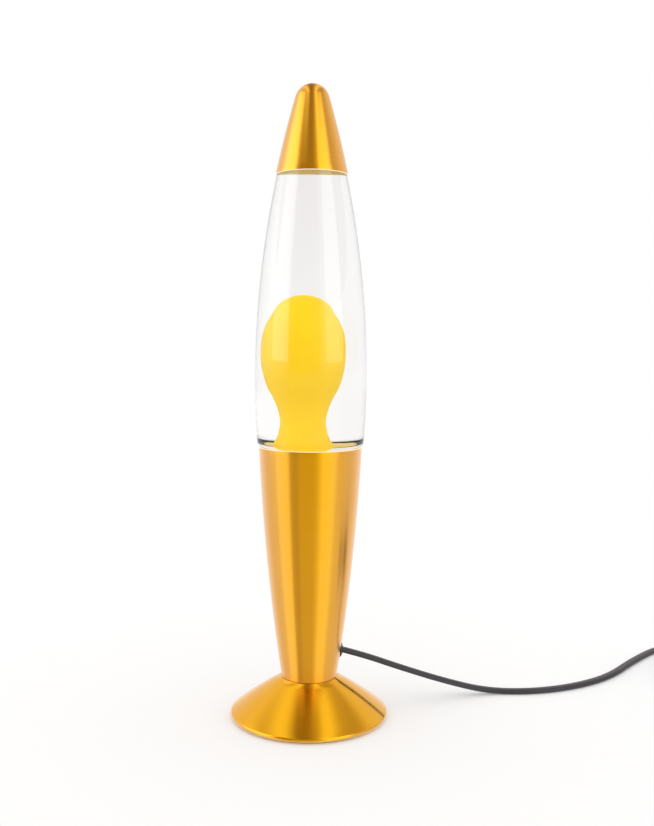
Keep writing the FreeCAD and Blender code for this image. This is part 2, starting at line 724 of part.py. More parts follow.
def build_bulb(doc, d):
    """The solder tip, the black insulator, the screw cap, the blown reflector and what carries the filament."""
    tip = bulb_tip_z(d)
    glassy = tip + d["tip_height"]
    cap_z = glassy + d["insulator_height"]
    cap_top = cap_z + d["bulb_cap_height"]
    crown = tip + d["bulb_length"]
    cap_radius, wall = d["bulb_cap_radius"], d["bulb_glass_wall"]
    turned(doc, "bulb_tip", rectangle(0, tip, d["tip_radius"], glassy))
    turned(doc, "bulb_insulator", [
        (0, glassy),
        (d["insulator_foot_radius"], glassy),
        (cap_radius - d["insulator_inset"], cap_z),
        (0, cap_z),
    ])
    turned(doc, "bulb_cap", [
        (0, cap_z),
        (cap_radius, cap_z),
        (cap_radius, cap_top),
        (cap_radius - d["bulb_cap_wall"], cap_top),
        (cap_radius - d["bulb_cap_wall"], cap_z + d["bulb_cap_wall"]),
        (0, cap_z + d["bulb_cap_wall"]),
    ])
    neck, wide = d["bulb_neck_radius"], d["bulb_radius"]
    flange_z = crown - d["bulb_crown_height"]
    foot = cap_top - d["bulb_neck_height"]
    rise = d["bulb_crown_height"]
    flare = (flange_z - cap_top) * d["bulb_flare"]
    turned(doc, "bulb_glass", [
        (neck, foot),
        (neck, cap_top + wall, flare, "left"),
        (wide, flange_z, crown_radius(wide, rise), "left"),
        (0, crown),
        (0, crown - wall, crown_radius(wide - wall, rise - wall), "right"),
        (wide - wall, flange_z, flare + wall, "right"),
        (neck - wall, cap_top + wall),
        (neck - wall, foot),
    ])
    stem_top = foot + d["stem_height"]
    turned(doc, "bulb_stem", rectangle(0, foot, d["stem_radius"], stem_top))
    build_filament(doc, d, stem_top)


def build_filament(doc, d, stem_top):
    """Two bent wires from the stem and the coiled filament between their ends."""
    reach, radius, z = d["lead_reach"], d["lead_radius"], d["filament_z"]
    leads = []
    for side in (-1, 1):
        run = z - stem_top + d["lead_foot"]
        base = (side * reach, 0, stem_top - d["lead_foot"])
        upright = rod(doc, f"LeadUpright{side + 1}", radius, run, base)
        inward = rod(doc, f"LeadInward{side + 1}", radius, reach - d["stem_radius"], base, (-side, 0, 0))
        leads.append(joined(doc, f"Lead{side + 1}", [upright, inward]))
    keep(joined(doc, "Leads", leads, "Part::Compound"), "bulb_leads")
    span = (reach - radius) * 2
    filament = rod(doc, "Filament", d["filament_radius"], span, (-(reach - radius), 0, z - radius * 2), (1, 0, 0))
    keep(filament, "bulb_filament")


# ---------------------------------------------------------------- the bottle and what is in it


def seat(d):
    """The shoulder's centre: its radius and the height at which the glass stands off the rim's inner edge."""
    centre = shoulder_top_radius(d) - d["shoulder_radius"]
    reach = d["rim_radius"] - d["shell_wall"] - centre
    drop = root(d["shoulder_radius"] * d["shoulder_radius"] - reach * reach)
    return centre, d["rim_z"] + drop + d["seat_clearance"]


def shoulder_top_radius(d):
    """The bottle's radius where the lower curve meets the shoulder, just above the rim."""
    return d["bottle_radius"] - sweep_in(d["bottle_lower_sweep"], d["bottle_waist_z"] - d["rim_z"] - d["shoulder_radius"])


def bottle_radius_at(d, z, inward=0):
    """The upper curve's radius at a height, or that of the parallel curve inside it."""
    sweep = d["bottle_upper_sweep"]
    return d["bottle_radius"] - inward - sweep_in(sweep - inward, z - d["bottle_waist_z"])


def bottle_outer(d):
    """The bottle's outside from its floor up to the mouth."""
    centre, seat_z = seat(d)
    corner = d["bottle_corner"]
    ring_z = d["mouth_z"] - d["mouth_ring"]
    draw_top = d["neck_z"]
    return [
        (0, d["bottle_floor_z"]),
        (d["bottle_floor_radius"] - corner, d["bottle_floor_z"], corner, "left"),
        (d["bottle_floor_radius"], d["bottle_floor_z"] + corner),
        (centre, seat_z - d["shoulder_radius"], d["shoulder_radius"], "left"),
        (centre + d["shoulder_radius"], seat_z, d["bottle_lower_sweep"], "left"),
        (d["bottle_radius"], d["bottle_waist_z"], d["bottle_upper_sweep"], "left"),
        (bottle_radius_at(d, d["neck_turn_z"]), d["neck_turn_z"], d["neck_draw"], "left"),
        (d["neck_radius"], draw_top),
        (d["neck_radius"], ring_z),
        (d["mouth_radius"], ring_z),
        (d["mouth_radius"], d["mouth_z"]),
    ]


def bottle_inner(d):
    """The bottle's inside from the bore down to the floor."""
    centre, seat_z = seat(d)
    wall = d["bottle_wall"]
    corner = d["bottle_corner"] - wall
    floor = d["bottle_floor_z"] + wall
    inner_shoulder = centre + d["shoulder_radius"] - wall
    return [
        (d["bore_radius"], d["mouth_z"]),
        (d["bore_radius"], d["neck_z"], d["inner_draw"], "right"),
        (bottle_radius_at(d, d["neck_turn_z"] - wall, wall), d["neck_turn_z"] - wall,
         d["bottle_upper_sweep"] - wall, "right"),
        (d["bottle_radius"] - wall, d["bottle_waist_z"], d["bottle_lower_sweep"] - wall, "right"),
        (inner_shoulder, seat_z, d["inner_shoulder"], "right"),
        (centre - wall, seat_z - d["shoulder_radius"]),
        (d["bottle_floor_radius"] - wall, d["bottle_floor_z"] + d["bottle_corner"], corner, "right"),
        (d["bottle_floor_radius"] - d["bottle_corner"], floor),
        (0, floor),
    ]


def wax_side(d, grow=0):
    """The wax above the pool's edge, from the glass up to the top of the head."""
    brow = d["brow_radius"] + grow
    return [
        (pool_radius(d) - d["wax_gap"], d["pool_z"] + grow, d["flare_sweep"], "right"),
        (d["flare_radius"] + grow, d["flare_z"] + grow, d["flare_sweep"], "right"),
        (d["waist_radius"] + grow, d["waist_z"], d["waist_sweep"], "right"),
        (d["swell_radius"] + grow, d["swell_z"], d["swell_sweep"], "left"),
        (d["head_radius"] + grow, d["head_z"], d["head_sweep"], "left"),
        (brow, d["brow_z"], crown_radius(brow, d["head_top_z"] + grow - d["brow_z"]), "left"),
        (0, d["head_top_z"] + grow),
    ]


def pool_radius(d):
    """The inside of the bottle at the pool's edge, between the rounded floor and the shoulder."""
    centre, seat_z = seat(d)
    wall = d["bottle_wall"]
    low_z, high_z = d["bottle_floor_z"] + d["bottle_corner"], seat_z - d["shoulder_radius"]
    low, high = d["bottle_floor_radius"] - wall, centre - wall
    return low + (high - low) * ((d["pool_z"] - low_z) / (high_z - low_z))


def build_bottle(doc, d):
    """The glass, the liquid, the wax with the groove that the wire coil lies in, the coil, and the crown closure."""
    gap = d["wax_gap"]
    turned(doc, "bottle", bottle_outer(d) + bottle_inner(d))
    floor = d["bottle_floor_z"] + d["bottle_wall"] + gap
    corner_z = d["bottle_floor_z"] + d["bottle_corner"]
    corner = d["bottle_corner"] - d["bottle_wall"] - gap
    groove_top = floor + d["coil_wire_radius"] * 2 + d["coil_groove_gap"]
    groove_out = d["coil_outer_radius"] + d["coil_wire_radius"] + d["coil_groove_gap"]
    groove_in = d["coil_inner_radius"] - d["coil_groove_gap"]
    turned(doc, "wax", [
        (0, floor),
        (groove_in, floor),
        (groove_in, groove_top),
        (groove_out, groove_top),
        (groove_out, floor + gap),
        (d["bottle_floor_radius"] - d["bottle_corner"] + corner, corner_z),
    ] + wax_side(d))
    fill = lathe(doc, "BottleInside", bottle_inner(d) + [(0, d["mouth_z"])])
    wide, tall = d["bottle_radius"] * 2, d["mouth_z"] - d["liquid_z"]
    air = block(doc, "Air", (wide, wide, tall), (-d["bottle_radius"], -d["bottle_radius"], d["liquid_z"]))
    displaced = lathe(doc, "WaxDisplaced", [
        (0, d["bottle_floor_z"]),
        (d["bottle_radius"], d["bottle_floor_z"]),
        (d["bottle_radius"], d["pool_z"] + gap),
    ] + wax_side(d, gap))
    keep(cut(doc, "Liquid", fill, joined(doc, "NotLiquid", [air, displaced])), "liquid")
    build_heating_coil(doc, d, floor)
    build_crown(doc, d)


def build_heating_coil(doc, d, floor):
    """A flat coil of wire: half turns whose centres alternate by half the pitch."""
    radius, half_pitch = d["coil_outer_radius"].value, d["coil_pitch"].value / 2
    z = floor.value + d["coil_wire_radius"].value
    edges = []
    end = FreeCAD.Vector(radius, 0, z)
    for turn in range(COIL_HALF_TURNS):
        side = -1 if turn % 2 == 0 else 1
        start = end
        end = FreeCAD.Vector(start.x + side * 2 * radius, 0, z)
        centre = (start + end) * 0.5
        top = centre + FreeCAD.Vector(0, radius if turn % 2 == 0 else -radius, 0)
        edges.append(Part.Arc(start, top, end).toShape())
        radius -= half_pitch
    section = Part.Wire([Part.makeCircle(d["coil_wire_radius"].value, edges[0].Vertexes[0].Point,
                                         FreeCAD.Vector(0, 1, 0))])
    feature = doc.addObject("Part::Feature", "HeatingCoil")
    feature.Shape = Part.Wire(edges).makePipeShell([section], True, True)
    keep(feature, "heating_coil")


def build_crown(doc, d):
    """The sealing liner on the mouth and the tinplate crown crimped over its ring."""
    liner, wall, mouth = d["liner_thickness"], d["crown_wall"], d["mouth_z"]
    turned(doc, "crown_liner", rectangle(0, mouth, d["mouth_radius"] - wall, mouth + liner))
    top = mouth + liner + wall
    skirt = top - d["crown_height"]
    turned(doc, "crown_cap", [
        (0, mouth + liner),
        (d["mouth_radius"] + wall / 2, mouth + liner),
        (d["crown_radius"] - wall, skirt),
        (d["crown_radius"], skirt),
        (d["mouth_radius"] + wall * 1.5, top),
        (0, top),
    ])


def build_cap(doc, d):
    """The spun cap: its side runs parallel to the bottle's upper curve and ends in a dome tangent to it."""
    offset = d["cap_clearance"] + d["cap_wall"]
    reach = d["bottle_upper_sweep"] - d["bottle_radius"]
    height = d["cap_top_z"] - d["bottle_waist_z"]
    outer = d["bottle_upper_sweep"] + offset
    dome = (outer * outer - reach * reach - height * height) / (2 * (outer - height))
    across = outer - dome
    meet_x = reach * (outer / across) - reach
    meet_z = d["bottle_waist_z"] + (height - dome) * (outer / across)
    inner = outer - d["cap_wall"]
    inner_x = reach * (inner / across) - reach
    inner_z = d["bottle_waist_z"] + (height - dome) * (inner / across)
    rim_height = d["cap_rim_z"] - d["bottle_waist_z"]
    turned(doc, "cap", [
        (root(inner * inner - rim_height * rim_height) - reach, d["cap_rim_z"]),
        (root(outer * outer - rim_height * rim_height) - reach, d["cap_rim_z"], outer, "left"),
        (meet_x, meet_z, dome, "left"),
        (0, d["cap_top_z"]),
        (0, d["cap_top_z"] - d["cap_wall"], dome - d["cap_wall"], "right"),
        (inner_x, inner_z, inner, "right"),
    ])


# ---------------------------------------------------------------- the cord set


def cord_tube(doc, label, route, radius):
    """A round tube along straight runs joined by tangent arcs as large as the runs allow."""
    points = [FreeCAD.Vector(*p) for p in route]
    edges = []
    last = points[0]
    smallest = math.inf
    for before, corner, after in zip(points, points[1:], points[2:]):
        into, away = (corner - before), (after - corner)
        half_turn = into.getAngle(away) / 2
        reach = RUN_SHARE * min(into.Length, away.Length)
        bend = reach / math.tan(half_turn)
        smallest = min(smallest, bend)
        into.normalize()
        away.normalize()
        start, end = corner - into * reach, corner + away * reach
        middle_way = (away - into).normalize()
        middle = corner + middle_way * (bend / math.cos(half_turn) - bend)
        edges.append(Part.LineSegment(last, start).toShape())
        edges.append(Part.Arc(start, middle, end).toShape())
        last = end
    edges.append(Part.LineSegment(last, points[-1]).toShape())
    path = Part.Wire(edges)
    section = Part.Wire([Part.makeCircle(radius, points[0], points[1] - points[0])])
    tube = path.makePipeShell([section], True, False)
    expected = math.pi * radius ** 2 * path.Length
    if abs(tube.Volume - expected) > 0.01 * expected:
        raise RuntimeError(f"{label} has volume {tube.Volume:.1f}, not {expected:.1f}")
    print(f"{label}: {path.Length:.1f} mm long, smallest radius {smallest:.1f} mm")
    feature = doc.addObject("Part::Feature", label.title().replace("_", ""))
    feature.Shape = tube
    return keep(feature, label)


def exit_way(d):
    """Where the cord passes the body's wall, and the wall's outward normal there."""
    z = d["cord_hole_z"]
    rise = d["rim_z"] - d["foot_top_z"]
    along = (z - d["foot_top_z"]) / rise
    slope = (d["rim_radius"] - d["body_foot_radius"]) / rise + rise * (1 - 2 * along) / (2 * d["body_sweep_radius"])
    bearing, tilt = math.radians(d["cord_bearing"].value), math.atan(slope.value)
    level = math.cos(tilt)
    out = FreeCAD.Vector(math.cos(bearing) * level, math.sin(bearing) * level, -math.sin(tilt))
    radius = body_radius_at(d, z).value
    return FreeCAD.Vector(math.cos(bearing) * radius, math.sin(bearing) * radius, z.value), out


def build_bushing(doc, d):
    """The cord bushing through the body's wall: a flange outside and a barrel in the hole."""
    gap = d["thread_gap"]
    barrel = d["cord_hole_radius"] - d["cord_gap"] * 2
    bushing = turned(doc, "cord_bushing", [
        (d["cord_radius"], -(d["bushing_inside"] + d["shell_wall"])),
        (barrel, -(d["bushing_inside"] + d["shell_wall"])),
        (barrel, gap),
        (d["bushing_flange_radius"], gap),
        (d["bushing_flange_radius"], gap + d["bushing_flange"]),
        (d["cord_radius"], gap + d["bushing_flange"]),
    ])
    where, out = exit_way(d)
    bushing.Placement = FreeCAD.Placement(where, FreeCAD.Rotation(FreeCAD.Vector(0, 0, 1), out))


def straight_wire(doc, label, radius, start, end):
    """A short straight wire from one point to another."""
    feature = doc.addObject("Part::Feature", label.title().replace("_", ""))
    run = end - start
    feature.Shape = Part.makeCylinder(radius.value, run.Length, start, run)
    keep(feature, label)


def build_inner_wiring(doc, d):
    """The end of the sheathed cord inside the body, and its two cores in through the holder's slot."""
    split = holder_levels(d)[2]
    where, out = exit_way(d)
    outer = where + out * (d["bushing_flange"] + d["thread_gap"]).value
    inner = where - out * (d["bushing_inside"] + d["shell_wall"]).value
    straight_wire(doc, "inner_cord", d["cord_radius"], outer, inner)
    bearing = math.radians(d["cord_bearing"].value)
    east = FreeCAD.Vector(math.cos(bearing), math.sin(bearing), 0)
    north = FreeCAD.Vector(-east.y, east.x, 0)
    level = FreeCAD.Vector(0, 0, split.value - d["wire_slot_height"].value / 2)
    for label, side in (("live_wire", 1), ("neutral_wire", -1)):
        offset = north * (side * d["wire_radius"].value * 1.1)
        straight_wire(doc, label, d["wire_radius"], inner + offset, east * d["terminal_reach"].value + level + offset)


def build_wound_cord(doc, d):
    """The rest of the cord wound into a ring, and the band that holds its turns together."""
    lift = d["tie_wall"]
    x, y = d["hank_x"], d["hank_y"]
    outer = rod(doc, "WoundOuter", d["hank_outer"], d["hank_height"], (x, y, lift))
    inner = rod(doc, "WoundInner", d["hank_inner"], d["hank_height"], (x, y, lift))
    keep(cut(doc, "WoundCord", outer, inner), "cord_coil")
    gap = d["cord_gap"]
    wall = d["tie_wall"]
    long = d["hank_outer"] - d["hank_inner"] + gap * 8
    tall = d["hank_height"] + wall + gap
    start = -(d["hank_outer"] + gap * 4)
    solid = block(doc, "TieOuter", (d["tie_width"], long + wall * 2, tall + wall),
                  (x - d["tie_width"] / 2, y + start - wall, 0))
    hollow = block(doc, "TieInner", (d["tie_width"], long, tall - wall),
                   (x - d["tie_width"] / 2, y + start, wall))
    keep(cut(doc, "CoilTie", solid, hollow), "coil_tie")


# ---------------------------------------------------------------- the in-line switch


def switch_outline(d, inset=0):
    """The switch's outline: wide in the middle and drawn in towards the cord at both ends."""
    half = d["switch_length"] / 2 - inset
    wide = d["switch_width"] / 2 - inset
    end = d["switch_end_width"] / 2 - inset
    waist = d["switch_shoulder"]
    return [
        (-wide, -waist), (-end, -half), (end, -half), (wide, -waist),
        (wide, waist), (end, half), (-end, half), (-wide, waist),
    ]


def build_switch(doc, d):
    """The in-line switch: two shells, the rocker on its stub pins, the contacts, clamps and screws."""
    build_switch_base(doc, d)
    build_switch_cover(doc, d)
    build_rocker(doc, d)
    build_switch_inside(doc, d)


def switch_screw_places(d):
    """Where the two screws stand from the switch's middle: one on each side of the cord."""
    return [(side * d["screw_offset"], side * d["screw_spacing"] / 2) for side in (-1, 1)]


def build_switch_base(doc, d):
    """The lower shell, open at the top, with a hole for the cord at each end and counterbored screw holes."""
    wall, split = d["switch_wall"], d["switch_base_height"]
    base = padded(doc, "SwitchBase", switch_outline(d), split)
    soften(doc, base, d["switch_round"], is_above(Size.of(0)))
    cut_through(doc, base, "XY_Plane", switch_outline(d, wall), split - wall, "Hollow", height=split)
    ends = Disc(0, d["switch_cord_z"], d["cord_radius"])
    cut_through(doc, base, "XZ_Plane", ends, d["switch_length"] * 2, "CordHoles", both=True)
    for name, (x, y) in zip(("Near", "Far"), switch_screw_places(d)):
        hole = Disc(x, y, d["screw_radius"] + d["cord_gap"])
        cut_through(doc, base, "XY_Plane", hole, wall, f"{name}ScrewHole", back=True)
        sink = Disc(x, y, d["screw_head_radius"] + d["cord_gap"])
        cut_through(doc, base, "XY_Plane", sink, d["screw_head_height"], f"{name}Sink", back=True)
    keep(place(base, d["switch_x"], d["switch_y"], 0), "switch_base")


def build_switch_cover(doc, d):
    """The upper shell, with the rocker's window and the bearing for its stub pins."""
    wall, split, height = d["switch_wall"], d["switch_base_height"], d["switch_cover_height"]
    cover = padded(doc, "SwitchCover", switch_outline(d), height, split)
    soften(doc, cover, d["switch_round"], is_above(split + height))
    cut_through(doc, cover, "XY_Plane", switch_outline(d, wall), height - wall, "Hollow", back=True, height=split)
    half_x = d["rocker_width"] / 2 + d["rocker_gap"]
    half_y = d["rocker_length"] / 2 + d["rocker_gap"]
    window = rectangle(-half_x, -half_y, half_x, half_y)
    cut_through(doc, cover, "XY_Plane", window, wall * 2, "Window", height=split + height)
    bearing = Disc(0, d["rocker_pivot_z"], d["pivot_radius"] + d["thread_gap"])
    reach = d["rocker_width"] + d["pivot_reach"] * 2 + d["rocker_gap"]
    cut_through(doc, cover, "YZ_Plane", bearing, reach, "Bearing", both=True)
    keep(place(cover, d["switch_x"], d["switch_y"], 0), "switch_cover")


def build_rocker(doc, d):
    """The rocker, a dished block on stub pins, and the brass bridge under it, both tilted to one side."""
    half, depth = d["rocker_length"] / 2 - d["rocker_gap"], d["rocker_height"] / 2
    width = d["rocker_width"] - d["rocker_gap"]
    block_body = doc.addObject("PartDesign::Body", "RockerBlock")
    outline = [(-half, -depth), (half, -depth), (half, depth), (Size.of(0), depth - d["rocker_dish"]), (-half, depth)]
    sketch = draw(block_body, "YZ_Plane", outline, "Side")
    pad = block_body.newObject("PartDesign::Pad", "Block")
    pad.Profile = sketch
    pad.Midplane = True
    pad.Length = width.value
    pad.setExpression("Length", width.text)
    block_body.Tip = pad
    doc.recompute()
    pin_length = d["rocker_width"] + d["pivot_reach"] * 2
    pins = rod(doc, "StubPins", d["pivot_radius"], pin_length, (-pin_length / 2, 0, 0), (1, 0, 0))
    rocker = joined(doc, "Rocker", [block_body, pins])
    strip = d["strip_thickness"]
    bridge = block(doc, "Bridge", (depth, d["bridge_length"], strip),
                   (-depth / 2, -d["bridge_length"] / 2, -depth - strip))
    centre = FreeCAD.Vector(d["switch_x"].value, d["switch_y"].value, d["rocker_pivot_z"].value)
    tilt = FreeCAD.Rotation(FreeCAD.Vector(1, 0, 0), d["rocker_tilt"].value)
    doc.recompute()
    rocker.Placement = FreeCAD.Placement(centre, tilt)
    bridge.Placement = FreeCAD.Placement(centre, tilt).multiply(bridge.Placement)
    keep(rocker, "rocker")
    keep(bridge, "rocker_bridge")


def build_switch_inside(doc, d):
    """The two fixed contacts on the live side, the neutral link, the cord clamps and the screws."""
    x, y, floor = d["switch_x"], d["switch_y"], d["switch_wall"]
    strip, width = d["strip_thickness"], d["strip_width"]
    live_x, run = x + d["strip_reach"] - width / 2, d["strip_length"]
    low_post = d["rocker_pivot_z"] - d["rocker_height"] - d["post_drop"]
    posts = []
    for name, side, height in (("Near", -1, low_post), ("Far", 1, low_post - strip)):
        start = y + side * (run / 2 + d["strip_shift"]) - run / 2
        foot = block(doc, f"{name}Foot", (width, run, strip), (live_x, start, floor))
        edge = y + side * d["strip_shift"] - strip / 2
        post = block(doc, f"{name}Post", (width, strip * 2, height - floor), (live_x, edge, floor))
        posts.append(joined(doc, f"{name}Contact", [foot, post]))
    keep(joined(doc, "Contacts", posts, "Part::Compound"), "switch_contacts")
    neutral_x = x - d["strip_reach"] - width / 2
    keep(block(doc, "NeutralLink", (width, run * 2, strip), (neutral_x, y - run, floor)), "neutral_link")
    clamp_y = d["switch_length"] / 2 - d["clamp_inset"]
    clamps = []
    for side in (-1, 1):
        base = (x - d["clamp_length"] / 2, y + side * clamp_y - d["clamp_width"] / 2,
                d["switch_cord_z"] + d["cord_radius"] + d["cord_gap"])
        clamps.append(block(doc, f"Clamp{side + 1}", (d["clamp_length"], d["clamp_width"], strip * 2), base))
    keep(joined(doc, "Clamps", clamps, "Part::Compound"), "cord_clamps")
    screws = []
    screw_top = d["switch_base_height"] + d["switch_cover_height"] - d["switch_wall"] - d["rocker_gap"]
    for i, (aside, along) in enumerate(switch_screw_places(d)):
        foot = (x + aside, y + along, d["cord_gap"] * 2)
        shank = rod(doc, f"Shank{i}", d["screw_radius"], screw_top - d["cord_gap"] * 2, foot)
        head_height = d["screw_head_height"] - d["cord_gap"] * 2
        head = rod(doc, f"Head{i}", d["screw_head_radius"], head_height, foot)
        screws.append(joined(doc, f"Screw{i}", [shank, head]))
    keep(joined(doc, "Screws", screws, "Part::Compound"), "switch_screws")


# ---------------------------------------------------------------- the plug


def along_y(obj, x, y, z):
    """Lays an object that was made upright along +Y, starting at a point."""
    point = FreeCAD.Vector(x.value, y.value, z.value)
    obj.Placement = FreeCAD.Placement(point, FreeCAD.Rotation(FreeCAD.Vector(1, 0, 0), -90))
    return obj


def build_plug(doc, d):
    """The moulded plug: body, boot, the two pins and the insulating sleeves in their recesses."""
    middle = d["plug_height"] / 2
    back = d["plug_y"] + d["boot_length"]
    front = back + d["plug_length"]
    wide, narrow = d["plug_width"] / 2, d["plug_back_width"] / 2
    body = padded(doc, "PlugMoulding", [
        (-narrow, Size.of(0)), (narrow, Size.of(0)), (wide, d["plug_grip_length"]),
        (wide, d["plug_length"]), (-wide, d["plug_length"]), (-wide, d["plug_grip_length"]),
    ], d["plug_height"])
    soften(doc, body, d["plug_round"], is_upright)
    soften(doc, body, d["plug_round"], is_above(Size.of(0)))
    soften(doc, body, d["plug_round"], is_above(d["plug_height"]))
    place(body, d["plug_x"], back, 0)
    boot = turned(doc, "plug_boot", [
        (0, 0), (d["boot_end_radius"], 0), (d["boot_radius"], d["boot_length"]), (0, d["boot_length"]),
    ])
    along_y(boot, d["plug_x"], d["plug_y"], middle)
    outside = d["pin_radius"] - d["sleeve_inset"]
    slim = outside - d["sleeve_wall"]
    bare = d["pin_root"] + d["sleeve_length"]
    end = d["pin_root"] + d["pin_length"]
    pins, sleeves = [], []
    for side in (-1, 1):
        x = d["plug_x"] + side * d["pin_spacing"] / 2
        pin = lathe(doc, f"Pin{side + 1}", [
            (0, 0), (slim, 0), (slim, bare), (d["pin_radius"], bare),
            (d["pin_radius"], end - d["pin_radius"] / 2, d["pin_radius"] / 2, "left"),
            (d["pin_radius"] / 2, end), (0, end),
        ])
        sleeve = lathe(doc, f"Sleeve{side + 1}", rectangle(slim, d["pin_root"], outside, bare))
        pins.append(along_y(pin, x, front - d["pin_root"], middle))
        sleeves.append(along_y(sleeve, x, front - d["pin_root"], middle))
    pins_pair = keep(joined(doc, "Pins", pins, "Part::Compound"), "plug_pins")
    keep(joined(doc, "Sleeves", sleeves, "Part::Compound"), "pin_sleeves")
    keep(cut(doc, "PlugBody", body, pins_pair), "plug_body")


# ---------------------------------------------------------------- the whole lamp


def check(doc):
    """Stops if an object failed, or if a sub-part is empty or invalid."""
    for obj in doc.Objects:
        if "Invalid" in obj.State or "Error" in obj.State:
            raise RuntimeError(f"{obj.Name} failed: {obj.State}")
    for obj in ALL:
        if obj.Shape.isNull() or not obj.Shape.isValid() or not obj.Shape.Solids:
            raise RuntimeError(f"{obj.Label} has no valid solid")


def main():
    """Builds every sub-part, checks them and writes one STEP file for each."""
    doc = FreeCAD.newDocument("LavaLamp")
    sizes = write_sheet(doc)
    for build in (build_foot, build_body, build_clamping, build_holder, build_bulb, build_bottle, build_cap,
                  build_bushing, build_inner_wiring, build_wound_cord, build_switch, build_plug):
        build(doc, sizes)
    radius = sizes["cord_radius"].value
    start, out = exit_way(sizes)
    start = start + out * (sizes["bushing_flange"] + sizes["thread_gap"]).value
    for label, route in (("cord_lead", (tuple(start), *CORD_LEAD)), ("cord_link", CORD_LINK), ("cord_tail", CORD_TAIL)):
        cord_tube(doc, label, route, radius)
    doc.recompute()
    check(doc)
    os.makedirs("parts", exist_ok=True)
    for obj in ALL:
        obj.Shape.exportStep(f"parts/{obj.Label}.step")
        print(f"{obj.Label}: {len(obj.Shape.Solids)} solids, {obj.Shape.Volume:.1f} mm3")


main()
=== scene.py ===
"""A lava lamp's looks: spun gold aluminium, a glass bottle of liquid and wax, its bulb, and its cord set.

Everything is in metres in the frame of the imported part: +Z up, the lamp's axis on X = Y = 0, the table at Z = 0.
"""

import logging
import math
from dataclasses import dataclass
from enum import Enum
from typing import Dict, Optional, Sequence, Tuple

import bmesh
import bpy
import numpy as np
from mathutils import Matrix, Vector


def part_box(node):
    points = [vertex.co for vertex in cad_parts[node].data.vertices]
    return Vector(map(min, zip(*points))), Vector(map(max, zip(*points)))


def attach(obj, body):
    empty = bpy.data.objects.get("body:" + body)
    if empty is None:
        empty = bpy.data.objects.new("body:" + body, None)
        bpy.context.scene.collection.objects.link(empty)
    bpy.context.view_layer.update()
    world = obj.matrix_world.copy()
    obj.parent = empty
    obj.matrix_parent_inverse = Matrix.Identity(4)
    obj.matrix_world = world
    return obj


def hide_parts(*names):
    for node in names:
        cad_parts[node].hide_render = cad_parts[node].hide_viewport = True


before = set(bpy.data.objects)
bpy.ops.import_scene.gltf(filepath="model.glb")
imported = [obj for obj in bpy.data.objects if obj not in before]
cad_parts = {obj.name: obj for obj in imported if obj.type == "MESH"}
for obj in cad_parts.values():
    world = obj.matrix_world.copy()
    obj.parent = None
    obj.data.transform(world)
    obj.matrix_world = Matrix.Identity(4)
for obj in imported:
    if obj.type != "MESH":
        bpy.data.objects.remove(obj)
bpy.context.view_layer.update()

LOG = logging.getLogger("lava_lamp")

Array = np.ndarray
Colour = Tuple[float, float, float]
Point = Tuple[float, float, float]

TURN_STEPS = 192
ARC_STEP = math.radians(4.0)
LONGEST_STEP = 4.0
MM = 0.001
SHARP_ANGLE = math.radians(38.0)
MERGE_DISTANCE = 1e-7
UP = np.array([0.0, 0.0, 1.0])


class Side(Enum):
    """Which side of the way on an arc's centre lies."""

    LEFT = 1
    RIGHT = -1


@dataclass(frozen=True)
class Corner:
    """A corner of a turned profile in millimetres, with the arc that goes on from it where there is one.

    Args:
        radius: distance from the axis.
        height: height on the axis.
        sweep: radius of the arc to the next corner, or 0 for a straight edge.
        side: the side of the way on that the arc's centre lies on.
    """

    radius: float
    height: float
    sweep: float = 0.0
    side: Side = Side.LEFT


# ---------------------------------------------------------------- shapes as arrays


def arc_between(start: Array, end: Array, sweep: float, side: Side) -> Array:
    """Points of an arc, without its last one.

    The centre is the chord's middle moved sideways by sqrt(sweep^2 - (chord / 2)^2), and the points turn evenly
    about it.

    Args:
        start: first point.
        end: last point.
        sweep: the arc's radius.
        side: the side that the centre lies on.

    Returns:
        An array of (radius, height) rows.
    """
    chord = end - start
    length = float(np.hypot(*chord))
    across = np.array([-chord[1], chord[0]]) / length
    rise = math.sqrt(max(sweep ** 2 - (length / 2) ** 2, 0.0))
    centre = (start + end) / 2 + across * rise * side.value
    first = math.atan2(*(start - centre)[::-1])
    last = math.atan2(*(end - centre)[::-1])
    turn = ((last - first) * side.value) % (2 * math.pi)
    count = max(4, math.ceil(turn / ARC_STEP), math.ceil(turn * sweep / LONGEST_STEP))
    angles = first + side.value * turn * np.arange(count) / count
    return centre + sweep * np.stack([np.cos(angles), np.sin(angles)], axis=1)


def traced(corners: Sequence[Corner], closed: bool = False) -> Array:
    """The points of a profile, with its arcs divided evenly.

    Args:
        corners: the profile's corners in order.
        closed: whether the last corner joins the first.

    Returns:
        An array of (radius, height) rows in metres.
    """
    ends = [np.array([c.radius, c.height]) for c in corners]
    rows = []
    for i, corner in enumerate(corners):
        if i == len(corners) - 1 and not closed:
            rows.append(ends[i][None])
        elif corner.sweep:
            rows.append(arc_between(ends[i], ends[(i + 1) % len(ends)], corner.sweep, corner.side))
        else:
            rows.append(ends[i][None])
    return np.concatenate(rows) * MM


def turned_grid(profile: Array, steps: int = TURN_STEPS) -> Array:
    """A profile turned about the vertical: x = r cos a, y = r sin a, z = h.

    Args:
        profile: rows of (radius, height).
        steps: how many steps make the full turn.

    Returns:
        A grid of points, rows along the profile and columns round the axis.
    """
    angle = np.linspace(0, 2 * math.pi, steps, endpoint=False)
    radius, height = profile[:, :1], profile[:, 1:]
    return np.stack([radius * np.cos(angle), radius * np.sin(angle), height + 0 * angle], axis=2)


